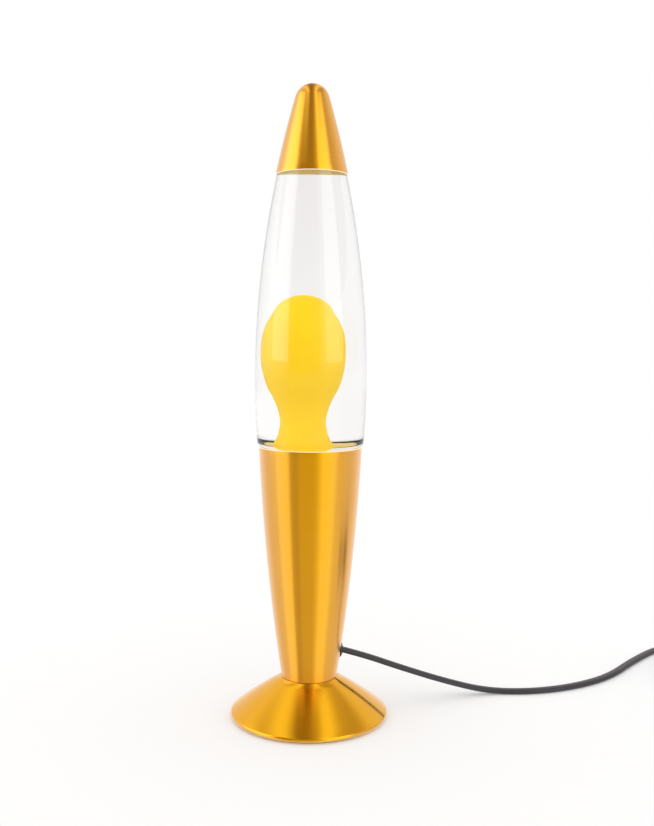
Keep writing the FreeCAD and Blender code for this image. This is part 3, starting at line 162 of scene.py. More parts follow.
def threaded_grid(profile: Array, depth: float, pitch: float, low: float, high: float,
                  steps: int = TURN_STEPS) -> Array:
    """A turned profile whose radius is pressed into a round thread between two heights.

    The radius loses depth * (1 - cos(2 pi (z / pitch - turn))) / 2, faded in over half a pitch at each end.

    Args:
        profile: rows of (radius, height).
        depth: depth of the thread.
        pitch: rise in one turn.
        low: height where the thread starts.
        high: height where it ends.
        steps: how many steps make the full turn.

    Returns:
        A grid of points as from turned_grid.
    """
    turn = np.arange(steps) / steps
    height = profile[:, 1:]
    fade = np.clip((height - low) / (pitch / 2), 0, 1) * np.clip((high - height) / (pitch / 2), 0, 1)
    groove = depth * fade * (1 - np.cos(2 * math.pi * (height / pitch - turn))) / 2
    radius = profile[:, :1] - groove
    angle = 2 * math.pi * turn
    return np.stack([radius * np.cos(angle), radius * np.sin(angle), height + 0 * angle], axis=2)


def smoothstep(value: Array) -> Array:
    """3 t^2 - 2 t^3 of a value held between 0 and 1."""
    held = np.clip(value, 0, 1)
    return held * held * (3 - 2 * held)


def along_lengths(points: Array) -> Array:
    """The length of a line up to each of its points."""
    steps = np.linalg.norm(np.diff(points, axis=0), axis=1)
    return np.concatenate([[0.0], np.cumsum(steps)])


def evenly(points: Array, spacing: float) -> Array:
    """A line's points set at an even spacing by their length along it.

    Args:
        points: the line's own points.
        spacing: the wanted distance between points.

    Returns:
        New points, from the same start to the same end.
    """
    at = along_lengths(points)
    want = np.linspace(0, at[-1], max(3, round(at[-1] / spacing) + 1))
    return np.stack([np.interp(want, at, points[:, k]) for k in range(3)], axis=1)


def tangents(points: Array) -> Array:
    """Unit directions of a line at its points, from the points on both sides."""
    way = np.gradient(points, axis=0)
    return way / np.linalg.norm(way, axis=1, keepdims=True)


def swept_grid(points: Array, outline: Array, wide: Array) -> Array:
    """An outline carried along a line: point + outline x * wide + outline y * (tangent x wide).

    Args:
        points: the line.
        outline: rows of (across, up) in the section.
        wide: the section's wide direction at each point, roughly across the line.

    Returns:
        A grid of points, rows along the line and columns round the section.
    """
    way = tangents(points)
    wide = wide - way * np.sum(wide * way, axis=1, keepdims=True)
    wide = wide / np.linalg.norm(wide, axis=1, keepdims=True)
    tall = np.cross(way, wide)
    return points[:, None] + outline[None, :, :1] * wide[:, None] + outline[None, :, 1:] * tall[:, None]


def stadium(width: float, height: float, steps: int = 24) -> Array:
    """A flat oval: two half circles of the height's radius, held apart to the width.

    Args:
        width: the whole width.
        height: the whole height.
        steps: how many points go round.

    Returns:
        Rows of (across, up).
    """
    angle = (np.arange(steps) + 0.5) * 2 * math.pi / steps
    apart = (width - height) / 2 * np.sign(np.cos(angle))
    return np.stack([np.cos(angle) * height / 2 + apart, np.sin(angle) * height / 2], axis=1)


def ring_outline(radius: float, steps: int = 12) -> Array:
    """A circle's points: (r cos a, r sin a)."""
    angle = np.arange(steps) * 2 * math.pi / steps
    return np.stack([np.cos(angle), np.sin(angle)], axis=1) * radius


def helix(radius: float, turns: float, start: Array, end: Array, first: Array, steps: int = 16) -> Array:
    """A coil of wire about a straight line: the line's point plus radius times a vector that turns about it.

    Args:
        radius: the coil's radius.
        turns: how many turns.
        start: the line's start.
        end: its end.
        first: a direction across the line.
        steps: points for each turn.

    Returns:
        The wire's centreline.
    """
    share = np.linspace(0, 1, max(4, int(turns * steps)))[:, None]
    way = (end - start) / np.linalg.norm(end - start)
    second = np.cross(way, first)
    angle = share * turns * 2 * math.pi
    return start + share * (end - start) + radius * (np.cos(angle) * first + np.sin(angle) * second)


# ---------------------------------------------------------------- meshes


def grid_piece(name: str, grid: Array, closed_rows: bool = False, capped: bool = False) -> bpy.types.Object:
    """A mesh from a grid of points whose columns go all the way round.

    Each cell is one face. The UV map "run" holds the turn round the columns, 0 to 1, and the length along the rows
    in metres.

    Args:
        name: the object's name.
        grid: points, rows by columns by three.
        closed_rows: whether the last row joins the first.
        capped: whether the first and last rows are closed with one face each.

    Returns:
        The new object, at the origin.
    """
    rows, columns = grid.shape[:2]
    index = np.arange(rows * columns).reshape(rows, columns)
    if closed_rows:
        index = np.concatenate([index, index[:1]])
    following = np.roll(index, -1, axis=1)
    quads = np.stack([index[:-1], following[:-1], following[1:], index[1:]], axis=2).reshape(-1, 4)
    line = np.linalg.norm(np.diff(np.concatenate([grid, grid[:1]]), axis=0), axis=2).mean(axis=1)
    length = np.concatenate([[0.0], np.cumsum(line)])[:len(index)]
    turn = np.arange(columns + 1) / columns
    corner_turn = np.stack([turn[:-1], turn[1:], turn[1:], turn[:-1]], axis=1)
    corner_run = np.stack([length[:-1], length[:-1], length[1:], length[1:]], axis=1)
    uv = np.zeros((len(index) - 1, columns, 4, 2))
    uv[..., 0] = corner_turn[None]
    uv[..., 1] = corner_run[:, None]
    faces = quads.tolist()
    uv_rows = uv.reshape(-1, 2)
    if capped:
        faces += [index[0].tolist(), index[-1].tolist()]
        uv_rows = np.concatenate([uv_rows, np.zeros((columns * 2, 2))])
    mesh = bpy.data.meshes.new(name)
    mesh.from_pydata(grid.reshape(-1, 3).tolist(), [], faces)
    layer = mesh.uv_layers.new(name="run")
    layer.data.foreach_set("uv", uv_rows.astype(np.float32).ravel())
    return finished(name, mesh)


def linked(name: str, data: bpy.types.ID) -> bpy.types.Object:
    """A new object of some data, in the scene at the origin."""
    made = bpy.data.objects.new(name, data)
    bpy.context.scene.collection.objects.link(made)
    return made


def finished(name: str, mesh: bpy.types.Mesh) -> bpy.types.Object:
    """Merges a mesh's doubled points, turns its faces outwards, shades it smooth and links it as an object.

    Args:
        name: the object's name.
        mesh: the mesh to finish.

    Returns:
        The new object, at the origin.
    """
    work = bmesh.new()
    work.from_mesh(mesh)
    bmesh.ops.remove_doubles(work, verts=work.verts, dist=MERGE_DISTANCE)
    bmesh.ops.recalc_face_normals(work, faces=work.faces)
    work.to_mesh(mesh)
    work.free()
    mesh.shade_smooth()
    mesh.set_sharp_from_angle(angle=SHARP_ANGLE)
    return linked(name, mesh)


def turned_piece(name: str, corners: Sequence[Corner], closed: bool = False) -> bpy.types.Object:
    """A piece turned from a profile's corners."""
    return grid_piece(name, turned_grid(traced(corners, closed)), closed_rows=closed)


def wire_piece(name: str, points: Array, radius: float, steps: int = 12) -> bpy.types.Object:
    """A round wire along a line, closed at both ends.

    Args:
        name: the object's name.
        points: the centreline.
        radius: the wire's radius.
        steps: points round the wire.

    Returns:
        The new object.
    """
    way = tangents(points)
    least = np.argmin(np.abs(way).max(axis=0))
    wide = np.tile(np.eye(3)[least], (len(points), 1))
    return grid_piece(name, swept_grid(points, ring_outline(radius, steps), wide), capped=True)


# ---------------------------------------------------------------- shaders


class Shader:
    """A node tree being wired, in a material or a group."""

    def __init__(self, tree: bpy.types.NodeTree) -> None:
        """Starts on an empty tree."""
        self.tree = tree

    def link(self, source: bpy.types.NodeSocket, target: bpy.types.NodeSocket) -> None:
        """Links an output to an input."""
        self.tree.links.new(source, target)

    def feed(self, socket: bpy.types.NodeSocket, value: object) -> None:
        """Links another node's output to an input, or sets the input to a plain value."""
        if isinstance(value, bpy.types.NodeSocket):
            self.link(value, socket)
        elif isinstance(value, tuple) and socket.type == "RGBA":
            socket.default_value = (*value[:3], 1.0)
        else:
            socket.default_value = value

    def node(self, kind: str, values: Optional[Dict[str, object]] = None, **settings: object) -> bpy.types.Node:
        """Adds a node.

        Args:
            kind: the node's type.
            values: inputs by name, each a plain value or another node's output.
            settings: the node's own properties.

        Returns:
            The node.
        """
        made = self.tree.nodes.new(kind)
        for key, value in settings.items():
            setattr(made, key, value)
        for key, value in (values or {}).items():
            self.feed(made.inputs[key], value)
        return made

    def math(self, operation: str, first: object, second: object = 0.0) -> bpy.types.NodeSocket:
        """Adds a Math node and returns its output."""
        made = self.node("ShaderNodeMath", {0: first, 1: second}, operation=operation)
        return made.outputs[0]

    def mixed(self, share: object, low: object, high: object) -> bpy.types.NodeSocket:
        """Mixes two colours by a share and returns the colour."""
        made = self.node("ShaderNodeMix", data_type="RGBA")
        for index, value in ((0, share), (6, low), (7, high)):
            self.feed(made.inputs[index], value)
        return made.outputs[2]

    def noise(self, place: bpy.types.NodeSocket, scale: object, detail: float, roughness: float = 0.5) -> object:
        """Adds a Noise texture and returns its value."""
        values = {"Vector": place, "Scale": scale, "Detail": detail, "Roughness": roughness}
        return self.node("ShaderNodeTexNoise", values).outputs["Fac"]

    def ranged(self, value: bpy.types.NodeSocket, low: float, high: float) -> bpy.types.NodeSocket:
        """Maps 0..1 on to low..high and returns the value."""
        made = self.node("ShaderNodeMapRange", {"Value": value, "To Min": low, "To Max": high})
        return made.outputs["Result"]

    def group(self, group: bpy.types.NodeTree, values: Dict[str, object]) -> bpy.types.Node:
        """Adds a group node with its inputs set or linked."""
        return self.node("ShaderNodeGroup", values, node_tree=group)


def new_group(name: str, inputs: Dict[str, Tuple[str, object]],
              outputs: Sequence[str]) -> Tuple[Shader, bpy.types.Node, bpy.types.Node]:
    """An empty shader node group with named sockets.

    Args:
        name: the group's name.
        inputs: name to (socket kind, default); a kind is Float or Vector.
        outputs: names of its values.

    Returns:
        The shader to wire it with, its input node and its output node.
    """
    tree = bpy.data.node_groups.new(name, "ShaderNodeTree")
    for key, (kind, default) in inputs.items():
        socket = tree.interface.new_socket(key, in_out="INPUT", socket_type=f"NodeSocket{kind}")
        if default is not None:
            socket.default_value = default
    for key in outputs:
        tree.interface.new_socket(key, in_out="OUTPUT", socket_type="NodeSocketFloat")
    return Shader(tree), tree.nodes.new("NodeGroupInput"), tree.nodes.new("NodeGroupOutput")


class Effects:
    """The surface effects that several finishes share, each built once as a node group."""

    def __init__(self) -> None:
        """Builds the groups."""
        self.lines = self.turning_lines()
        self.grain = self.moulded_grain()
        self.dust = self.settled_dust()

    @staticmethod
    def turning_lines() -> bpy.types.NodeTree:
        """Fine rings left by turning or brushing: noise that is long round the axis and short along the profile."""
        make, given, out = new_group(
            "turning_lines",
            {"Place": ("Vector", None), "Run": ("Vector", None), "Rings": ("Float", 9000.0), "Drift": ("Float", 1.5)},
            ["Lines", "Bands", "Patches"],
        )
        flat = make.node("ShaderNodeVectorMath", {0: given.outputs["Place"], 1: (1.0, 1.0, 0.0)}, operation="MULTIPLY")
        round_axis = make.node("ShaderNodeVectorMath", {0: flat.outputs[0]}, operation="NORMALIZE")
        drifted = make.node("ShaderNodeVectorMath", {0: round_axis.outputs[0]}, operation="SCALE")
        make.link(given.outputs["Drift"], drifted.inputs["Scale"])
        split = make.node("ShaderNodeSeparateXYZ", {0: drifted.outputs[0]})
        run = make.node("ShaderNodeSeparateXYZ", {0: given.outputs["Run"]})
        for name, share in (("Lines", 1.0), ("Bands", 0.07)):
            rings = make.math("MULTIPLY", make.math("MULTIPLY", run.outputs[1], given.outputs["Rings"]), share)
            where = make.node("ShaderNodeCombineXYZ", {0: split.outputs[0], 1: split.outputs[1], 2: rings})
            noise = make.noise(where.outputs[0], 1.0, 3.0, 0.65)
            make.link(noise, out.inputs[name])
        patches = make.noise(given.outputs["Place"], 38.0, 2.0)
        make.link(patches, out.inputs["Patches"])
        return make.tree

    @staticmethod
    def moulded_grain() -> bpy.types.NodeTree:
        """The spark-eroded texture of a mould: cells a fraction of a millimetre across, under a soft mottle."""
        make, given, out = new_group(
            "moulded_grain", {"Place": ("Vector", None), "Cells": ("Float", 2500.0)}, ["Height", "Mottle"],
        )
        cells = make.node("ShaderNodeTexVoronoi", {"Vector": given.outputs["Place"], "Scale": given.outputs["Cells"]},
                          feature="SMOOTH_F1")
        fine = make.noise(given.outputs["Place"], given.outputs["Cells"], 2.0)
        height = make.math("ADD", cells.outputs["Distance"], fine)
        make.link(make.math("MULTIPLY", height, 0.5), out.inputs["Height"])
        mottle = make.noise(given.outputs["Place"], 90.0, 3.0)
        make.link(mottle, out.inputs["Mottle"])
        return make.tree

    @staticmethod
    def settled_dust() -> bpy.types.NodeTree:
        """Dust that lies on what faces up: the normal's height times a broken noise."""
        make, given, out = new_group(
            "settled_dust",
            {"Place": ("Vector", None), "Normal": ("Vector", None), "Amount": ("Float", 0.1)}, ["Mask"],
        )
        facing = make.node("ShaderNodeSeparateXYZ", {0: given.outputs["Normal"]})
        upward = make.math("MAXIMUM", facing.outputs[2], 0.0)
        noise = make.noise(given.outputs["Place"], 260.0, 5.0, 0.7)
        broken = make.math("MULTIPLY", make.math("POWER", upward, 2.0), noise)
        make.link(make.math("MULTIPLY", broken, given.outputs["Amount"]), out.inputs["Mask"])
        return make.tree


EFFECTS = Effects()
# Painted reflection: a pale pink that stands in for the white room mirrored where the spun gold turns edge-on.
PAINTED_EDGE_REFLECTION_COLOUR: Colour = (0.93, 0.58, 0.45)


@dataclass(frozen=True)
class Finish:
    """What every finish has: a name, the record's material slot, and a Principled shader."""

    name: str
    slot: str

    def start(self) -> Tuple[bpy.types.Material, Shader, bpy.types.Node, bpy.types.Node]:
        """A new material.

        Returns:
            The material, the shader to wire it with, its Principled node and its Texture Coordinate node.
        """
        material = bpy.data.materials.new(self.name)
        material.use_nodes = True
        make = Shader(material.node_tree)
        principled = next(n for n in material.node_tree.nodes if n.type == "BSDF_PRINCIPLED")
        return material, make, principled, make.node("ShaderNodeTexCoord")

    def material(self) -> bpy.types.Material:
        """Builds the material."""
        raise NotImplementedError

    @staticmethod
    def set(principled: bpy.types.Node, values: Dict[str, object]) -> None:
        """Sets a shader's own sockets to plain values."""
        for key, value in values.items():
            principled.inputs[key].default_value = (*value, 1.0) if "Color" in key else value

    @staticmethod
    def bump(make: Shader, principled: bpy.types.Node, height: bpy.types.NodeSocket, strength: float,
             distance: float) -> None:
        """Feeds a height through a Bump node to the shader's normal."""
        node = make.node("ShaderNodeBump", {"Height": height, "Strength": strength, "Distance": distance})
        make.link(node.outputs["Normal"], principled.inputs["Normal"])


@dataclass(frozen=True)
class TurnedMetal(Finish):
    """Metal that was turned, spun or drawn, with fine lines round its axis."""

    colour: Colour
    shade: Colour
    roughness: Tuple[float, float] = (0.22, 0.34)
    stretch: float = 0.7
    rings: float = 9000.0
    drift: float = 1.5
    line_depth: float = 0.000004
    # How much of the painted edge reflection colour is mixed in at grazing, sideways-facing faces.
    painted_edge_reflection: float = 0.0
    has_run: bool = True

    def material(self) -> bpy.types.Material:
        """Fine rings drive colour, roughness and bump, and the highlight is drawn out across them; where set, a painted
        reflection lightens the edge-on sides.
        """
        material, make, principled, coordinates = self.start()
        run = coordinates.outputs["UV" if self.has_run else "Object"]
        lines = make.group(EFFECTS.lines, {"Place": coordinates.outputs["Object"], "Run": run, "Rings": self.rings,
                                           "Drift": self.drift})
        wear = make.math("MULTIPLY", lines.outputs["Bands"], lines.outputs["Patches"])
        tone = make.math("ADD", make.math("MULTIPLY", lines.outputs["Lines"], 0.5), wear)
        colour = make.mixed(tone, self.shade, self.colour)
        # Painted reflection: the colour goes paler and pinker where the face is seen edge-on and faces sideways, in
        # place of the room mirrored there.
        if self.painted_edge_reflection:
            edge = make.node("ShaderNodeLayerWeight", {"Blend": 0.5}).outputs["Facing"]
            up = make.node("ShaderNodeSeparateXYZ", {0: make.node("ShaderNodeNewGeometry").outputs["Normal"]})
            level = make.math("SUBTRACT", 1.0, make.math("ABSOLUTE", up.outputs[2]))
            share = make.math("MULTIPLY", make.math("MULTIPLY", edge, level), self.painted_edge_reflection)
            colour = make.mixed(share, colour, PAINTED_EDGE_REFLECTION_COLOUR)
        make.link(colour, principled.inputs["Base Color"])
        make.link(make.ranged(lines.outputs["Lines"], *self.roughness), principled.inputs["Roughness"])
        self.bump(make, principled, lines.outputs["Lines"], 0.5, self.line_depth)
        self.set(principled, {"Metallic": 1.0, "Anisotropic": self.stretch, "Anisotropic Rotation": 0.25})
        if self.stretch and self.has_run:
            tangent = make.node("ShaderNodeTangent", direction_type="UV_MAP", uv_map="run")
            make.link(tangent.outputs[0], principled.inputs["Tangent"])
        return material


@dataclass(frozen=True)
class Moulded(Finish):
    """A moulded or extruded plastic, or rubber, with a fine texture and a little dust."""

    colour: Colour
    dusty: Colour = (0.25, 0.25, 0.25)
    roughness: Tuple[float, float] = (0.42, 0.55)
    cells: float = 2500.0
    depth: float = 0.00002
    dust: float = 0.08
    specular: float = 0.5
    # Emission that paints light on a finish that is no lamp; zero unless set.
    painted_glow: float = 0.0

    def material(self) -> bpy.types.Material:
        """Grain drives the bump and roughness, dust lightens what faces up, and a painted glow, where set, paints in
        light.
        """
        material, make, principled, coordinates = self.start()
        place = coordinates.outputs["Object"]
        grain = make.group(EFFECTS.grain, {"Place": place, "Cells": self.cells})
        geometry = make.node("ShaderNodeNewGeometry")
        dust = make.group(EFFECTS.dust, {"Place": place, "Normal": geometry.outputs["Normal"], "Amount": self.dust})
        make.link(make.mixed(dust.outputs["Mask"], self.colour, self.dusty), principled.inputs["Base Color"])
        make.link(make.ranged(grain.outputs["Mottle"], *self.roughness), principled.inputs["Roughness"])
        self.bump(make, principled, grain.outputs["Height"], 0.35, self.depth)
        # Emission Strength is the painted glow.
        self.set(principled, {"Specular IOR Level": self.specular, "Emission Color": self.colour,
                              "Emission Strength": self.painted_glow})
        return material


@dataclass(frozen=True)
class Extruded(Finish):
    """A cord's sheath: satin plastic with faint lines drawn along it."""

    colour: Colour
    roughness: Tuple[float, float] = (0.34, 0.48)

    def material(self) -> bpy.types.Material:
        """Noise that is stretched along the cord's run drives roughness and a slight bump."""
        material, make, principled, coordinates = self.start()
        split = make.node("ShaderNodeSeparateXYZ", {0: coordinates.outputs["UV"]})
        angle = make.math("MULTIPLY", split.outputs[0], 2 * math.pi)
        where = make.node("ShaderNodeCombineXYZ", {
            0: make.math("MULTIPLY", make.math("COSINE", angle), 9.0),
            1: make.math("MULTIPLY", make.math("SINE", angle), 9.0),
            2: make.math("MULTIPLY", split.outputs[1], 30.0),
        })
        noise = make.noise(where.outputs[0], 1.0, 3.0)
        grain = make.group(EFFECTS.grain, {"Place": coordinates.outputs["Object"], "Cells": 3200.0})
        shade = make.mixed(grain.outputs["Mottle"], self.colour, tuple(min(1.0, c * 1.7) for c in self.colour))
        make.link(shade, principled.inputs["Base Color"])
        make.link(make.ranged(noise, *self.roughness), principled.inputs["Roughness"])
        self.bump(make, principled, noise, 0.3, 0.00003)
        self.set(principled, {"Specular IOR Level": 0.45})
        return material


@dataclass(frozen=True)
class Woven(Finish):
    """A woven band: threads over and under in both directions."""

    colour: Colour
    thread: float = 0.0005

    def material(self) -> bpy.types.Material:
        """Two crossed waves make the weave's height; the colour is darkened in its low places as painted shade and
        lightened on its high ones as painted highlight, and the height lifts the bump.
        """
        material, make, principled, coordinates = self.start()
        split = make.node("ShaderNodeSeparateXYZ", {0: coordinates.outputs["Object"]})
        turns = 2 * math.pi / self.thread
        across = make.math("SINE", make.math("MULTIPLY", split.outputs[0], turns))
        up = make.math("SINE", make.math("MULTIPLY", make.math("ADD", split.outputs[1], split.outputs[2]), turns))
        weave = make.math("ADD", make.math("MULTIPLY", make.math("MULTIPLY", across, up), 0.5), 0.5)
        # Painted shade and highlight: the weave's low places darker, its high places lighter.
        shade = make.mixed(weave, tuple(c * 0.5 for c in self.colour), tuple(c * 1.6 for c in self.colour))
        make.link(shade, principled.inputs["Base Color"])
        make.link(make.ranged(weave, 0.75, 0.95), principled.inputs["Roughness"])
        self.bump(make, principled, weave, 0.8, self.thread / 4)
        self.set(principled, {"Sheen Weight": 0.3, "Sheen Roughness": 0.5})
        return material


@dataclass(frozen=True)
class Clear(Finish):
    """Glass or a clear liquid, which lets the lamps' light through to what is inside."""

    colour: Colour
    ior: float
    roughness: Tuple[float, float] = (0.0, 0.01)
    ripple: float = 0.00002
    shadow: float = 0.95
    mirror: float = 1.0

    def material(self) -> bpy.types.Material:
        """Slow ripples in the surface, and a clear shadow."""
        material, make, principled, coordinates = self.start()
        noise = make.noise(coordinates.outputs["Object"], 45.0, 2.0)
        make.link(make.ranged(noise, *self.roughness), principled.inputs["Roughness"])
        if self.ripple:
            self.bump(make, principled, noise, 0.15, self.ripple)
        self.set(principled, {"Base Color": self.colour, "IOR": self.ior, "Transmission Weight": 1.0})
        principled.inputs["Specular Tint"].default_value = (self.mirror, self.mirror, self.mirror, 1.0)
        light = make.node("ShaderNodeLightPath")
        clear = make.node("ShaderNodeBsdfTransparent", {"Color": (self.shadow, self.shadow, self.shadow, 1.0)})
        mix = make.node("ShaderNodeMixShader", {0: light.outputs["Is Shadow Ray"], 1: principled.outputs[0],
                                                2: clear.outputs[0]})
        output = next(n for n in make.tree.nodes if n.type == "OUTPUT_MATERIAL")
        make.link(mix.outputs[0], output.inputs["Surface"])
        return material


@dataclass(frozen=True)
class Waxy(Finish):
    """Dyed wax: light scatters in it, its surface is smooth, its dye is paler in slow clouds, and a painted glow
    lightens it all over.
    """

    colour: Colour
    pale: Colour
    # Emission that paints light on the wax, which is no lamp.
    painted_glow: float = 0.15

    def material(self) -> bpy.types.Material:
        """Slow clouds of dye, soft scattering, a satin surface and a painted glow."""
        material, make, principled, coordinates = self.start()
        clouds = make.noise(coordinates.outputs["Object"], 60.0, 4.0, 0.6)
        colour = make.mixed(make.ranged(clouds, 0.0, 0.6), self.colour, self.pale)
        make.link(colour, principled.inputs["Base Color"])
        make.link(make.ranged(clouds, 0.42, 0.6), principled.inputs["Roughness"])
        self.bump(make, principled, clouds, 0.1, 0.0002)
        # The emission here is a painted glow.
        self.set(principled, {"Subsurface Weight": 0.25, "Subsurface Radius": (1.0, 0.55, 0.08),
                              "Subsurface Scale": 0.004, "Emission Color": self.colour, "Emission Strength": self.painted_glow,
                              "Specular IOR Level": 0.15})
        return material


# ---------------------------------------------------------------- the finishes


def plated(name: str, slot: str, colour: Colour, shade: Colour, roughness: Tuple[float, float],
           rings: float) -> TurnedMetal:
    """A plain metal for pieces that have no run of their own, with lines and no drawn-out highlight."""
    return TurnedMetal(name, slot, colour, shade, roughness, stretch=0.0, rings=rings, has_run=False)


# GOLD mixes a painted reflection into its edge-on sides.
GOLD = TurnedMetal("spun_gold", "gold_aluminium", colour=(0.98, 0.51, 0.006), shade=(0.92, 0.43, 0.004),
                   roughness=(0.16, 0.27), stretch=0.75, rings=9000.0, painted_edge_reflection=0.62)
# Painted light: a pale glowing finish on the inside of body and cap, standing in for light that reaches in through the
# bottle.
PAINTED_INSIDE_LIGHT = Moulded("shell_inside_painted_light", "gold_aluminium", colour=(0.95, 0.7, 0.22), dusty=(0.92, 0.85, 0.7),
                 roughness=(0.4, 0.55), cells=1500.0, depth=0.00001, dust=0.0, painted_glow=0.4)
# Painted highlight: a pale glowing band on the rims of body and cap, standing in for the bright line the rounded rim
# mirrors.
EDGE = Moulded("rim_painted_highlight", "gold_aluminium", colour=(0.98, 0.8, 0.58), dusty=(0.92, 0.85, 0.7),
               roughness=(0.3, 0.4), cells=1500.0, depth=0.00001, dust=0.0, painted_glow=0.35)
STEEL = plated("rolled_steel", "ballast_steel", (0.42, 0.41, 0.4), (0.2, 0.19, 0.19), (0.35, 0.5), 900.0)
ZINC = plated("zinc_plate", "zinc_steel", (0.72, 0.73, 0.76), (0.5, 0.51, 0.55), (0.2, 0.35), 2500.0)
BRASS = plated("pressed_brass", "brass", (0.88, 0.64, 0.28), (0.62, 0.42, 0.16), (0.18, 0.32), 2500.0)
NICKEL = plated("nickel_plate", "nickel", (0.72, 0.69, 0.63), (0.56, 0.53, 0.48), (0.12, 0.24), 3500.0)
SOLDER = plated("solder", "solder", (0.6, 0.6, 0.62), (0.34, 0.34, 0.36), (0.3, 0.5), 700.0)
TUNGSTEN = plated("tungsten", "tungsten", (0.3, 0.3, 0.32), (0.16, 0.16, 0.17), (0.35, 0.5), 9000.0)
SPRING = plated("spring_wire", "spring_wire", (0.62, 0.62, 0.64), (0.36, 0.36, 0.38), (0.22, 0.36), 3000.0)
TIN = TurnedMetal("crown_tin", "crown_tin", colour=(0.85, 0.72, 0.36), shade=(0.7, 0.56, 0.24),
                  roughness=(0.2, 0.34), stretch=0.3, rings=5000.0)
SILVER = TurnedMetal("bulb_silver", "bulb_glass", colour=(0.92, 0.92, 0.93), shade=(0.8, 0.8, 0.82),
                     roughness=(0.05, 0.12), stretch=0.0, rings=900.0)
GLASS = Clear("bottle_glass", "bottle_glass", colour=(0.985, 0.983, 0.98), ior=1.5, mirror=0.35)
BULB_FACE = Clear("bulb_glass", "bulb_glass", colour=(0.98, 0.98, 0.98), ior=1.5, roughness=(0.28, 0.4), shadow=0.9)
BULB_STEM = Clear("stem_glass", "bulb_glass", colour=(0.97, 0.98, 0.97), ior=1.5, ripple=0.0)
LIQUID = Clear("liquid", "liquid", colour=(0.985, 0.984, 0.98), ior=1.33, roughness=(0.0, 0.0), ripple=0.0, shadow=0.99,
               mirror=0.5)
# The wax carries a painted glow as well as its dye colour.
WAX = Waxy("wax", "wax", colour=(0.97, 0.615, 0.0), pale=(0.98, 0.66, 0.004))
PAD = Moulded("pad_rubber", "pad_rubber", colour=(0.018, 0.018, 0.019), roughness=(0.75, 0.92), cells=1200.0,
              depth=0.00008, dust=0.2)
HOLDER = Moulded("holder_plastic", "holder_plastic", colour=(0.62, 0.6, 0.55), dusty=(0.5, 0.45, 0.38), cells=1800.0)
INSULATOR = Moulded("bulb_black", "bulb_black", colour=(0.012, 0.011, 0.012), roughness=(0.1, 0.22), dust=0.02)
LINER = Moulded("crown_liner", "crown_liner", colour=(0.75, 0.75, 0.73), roughness=(0.5, 0.7))
BROWN_CORE = Moulded("live_brown", "live_brown", colour=(0.14, 0.05, 0.018), roughness=(0.3, 0.45))
BLUE_CORE = Moulded("neutral_blue", "neutral_blue", colour=(0.02, 0.12, 0.45), roughness=(0.3, 0.45))
SWITCH = Moulded("switch_black", "switch_black", colour=(0.022, 0.022, 0.024), roughness=(0.38, 0.52), dust=0.12)
ROCKER = Moulded("rocker_black", "rocker_black", colour=(0.016, 0.016, 0.018), roughness=(0.24, 0.36), dust=0.06)
PLUG = Moulded("plug_black", "plug_black", colour=(0.024, 0.024, 0.026), roughness=(0.45, 0.6), dust=0.12)
SHEATH = Extruded("cord_black", "cord_black", colour=(0.03, 0.028, 0.032))
TIE = Woven("tie_black", "tie_black", colour=(0.02, 0.02, 0.022))

CAD_FINISHES: Tuple[Tuple[Finish, Tuple[str, ...]], ...] = (
    (STEEL, ("base_plate",)),
    (PAD, ("base_pad",)),
    (ZINC, ("threaded_tube", "tube_washers", "tube_nuts", "terminal_screws", "switch_screws")),
    (HOLDER, ("holder_base", "holder_sleeve", "cord_clamps")),
    (BRASS, ("screw_shell", "centre_contact", "rocker_bridge", "switch_contacts", "neutral_link")),
    (BULB_STEM, ("bulb_stem",)),
    (INSULATOR, ("bulb_insulator",)),
    (NICKEL, ("bulb_leads", "plug_pins")),
    (SOLDER, ("bulb_tip",)),
    (SPRING, ("heating_coil",)),
    (LINER, ("crown_liner",)),
    (SWITCH, ("cord_bushing", "switch_base", "switch_cover")),
    (ROCKER, ("rocker",)),
    (PLUG, ("plug_boot", "plug_body", "pin_sleeves")),
)


# ---------------------------------------------------------------- the turned profiles, in millimetres

LEFT, RIGHT = Side.LEFT, Side.RIGHT


def outline(*rows: Sequence[object]) -> Tuple[Corner, ...]:
    """Corners from rows of (radius, height) or (radius, height, sweep, side)."""
    return tuple(Corner(*row) for row in rows)


FOOT_OUTLINE = outline(
    (5.05, 22.1), (5.05, 21.2), (14.6, 21.2, 235.1, RIGHT), (41.686, 2.76, 0.6, RIGHT), (41.3, 1.7),
    (40.7, 1.7), (40.7, 0.8), (41.3, 0.8, 1.5, LEFT), (42.264, 3.449, 236.0, LEFT), (15.5, 21.8, 0.5, LEFT),
    (14.95, 22.1),
)
BODY_OUTLINE = outline(
    (5.05, 22.1), (14.7, 22.1, 0.42, LEFT), (15.11, 22.5, 1190.0, LEFT), (27.79, 147.85, 0.27, LEFT),
    (27.54, 148.1), (27.16, 148.1, 0.27, LEFT), (26.89, 147.85, 1189.1, RIGHT), (14.15, 23.0), (5.05, 23.0),
)
BOTTLE_WALL = 2.2
BOTTLE_UPPER, BOTTLE_WAIST_Z, BOTTLE_RADIUS = 533.0, 183.0, 30.0
SHOULDER_CENTRE, SEAT_Z = 25.174, 151.359
NECK_TURN_Z = 293.0
INNER_TURN_Z = NECK_TURN_Z - BOTTLE_WALL


def upper_radius(height: float, inward: float = 0.0) -> float:
    """The bottle's upper curve at a height, or one parallel to it: r - R + sqrt(R^2 - dz^2)."""
    sweep = BOTTLE_UPPER - inward
    return BOTTLE_RADIUS - inward - sweep + math.sqrt(sweep ** 2 - (height - BOTTLE_WAIST_Z) ** 2)


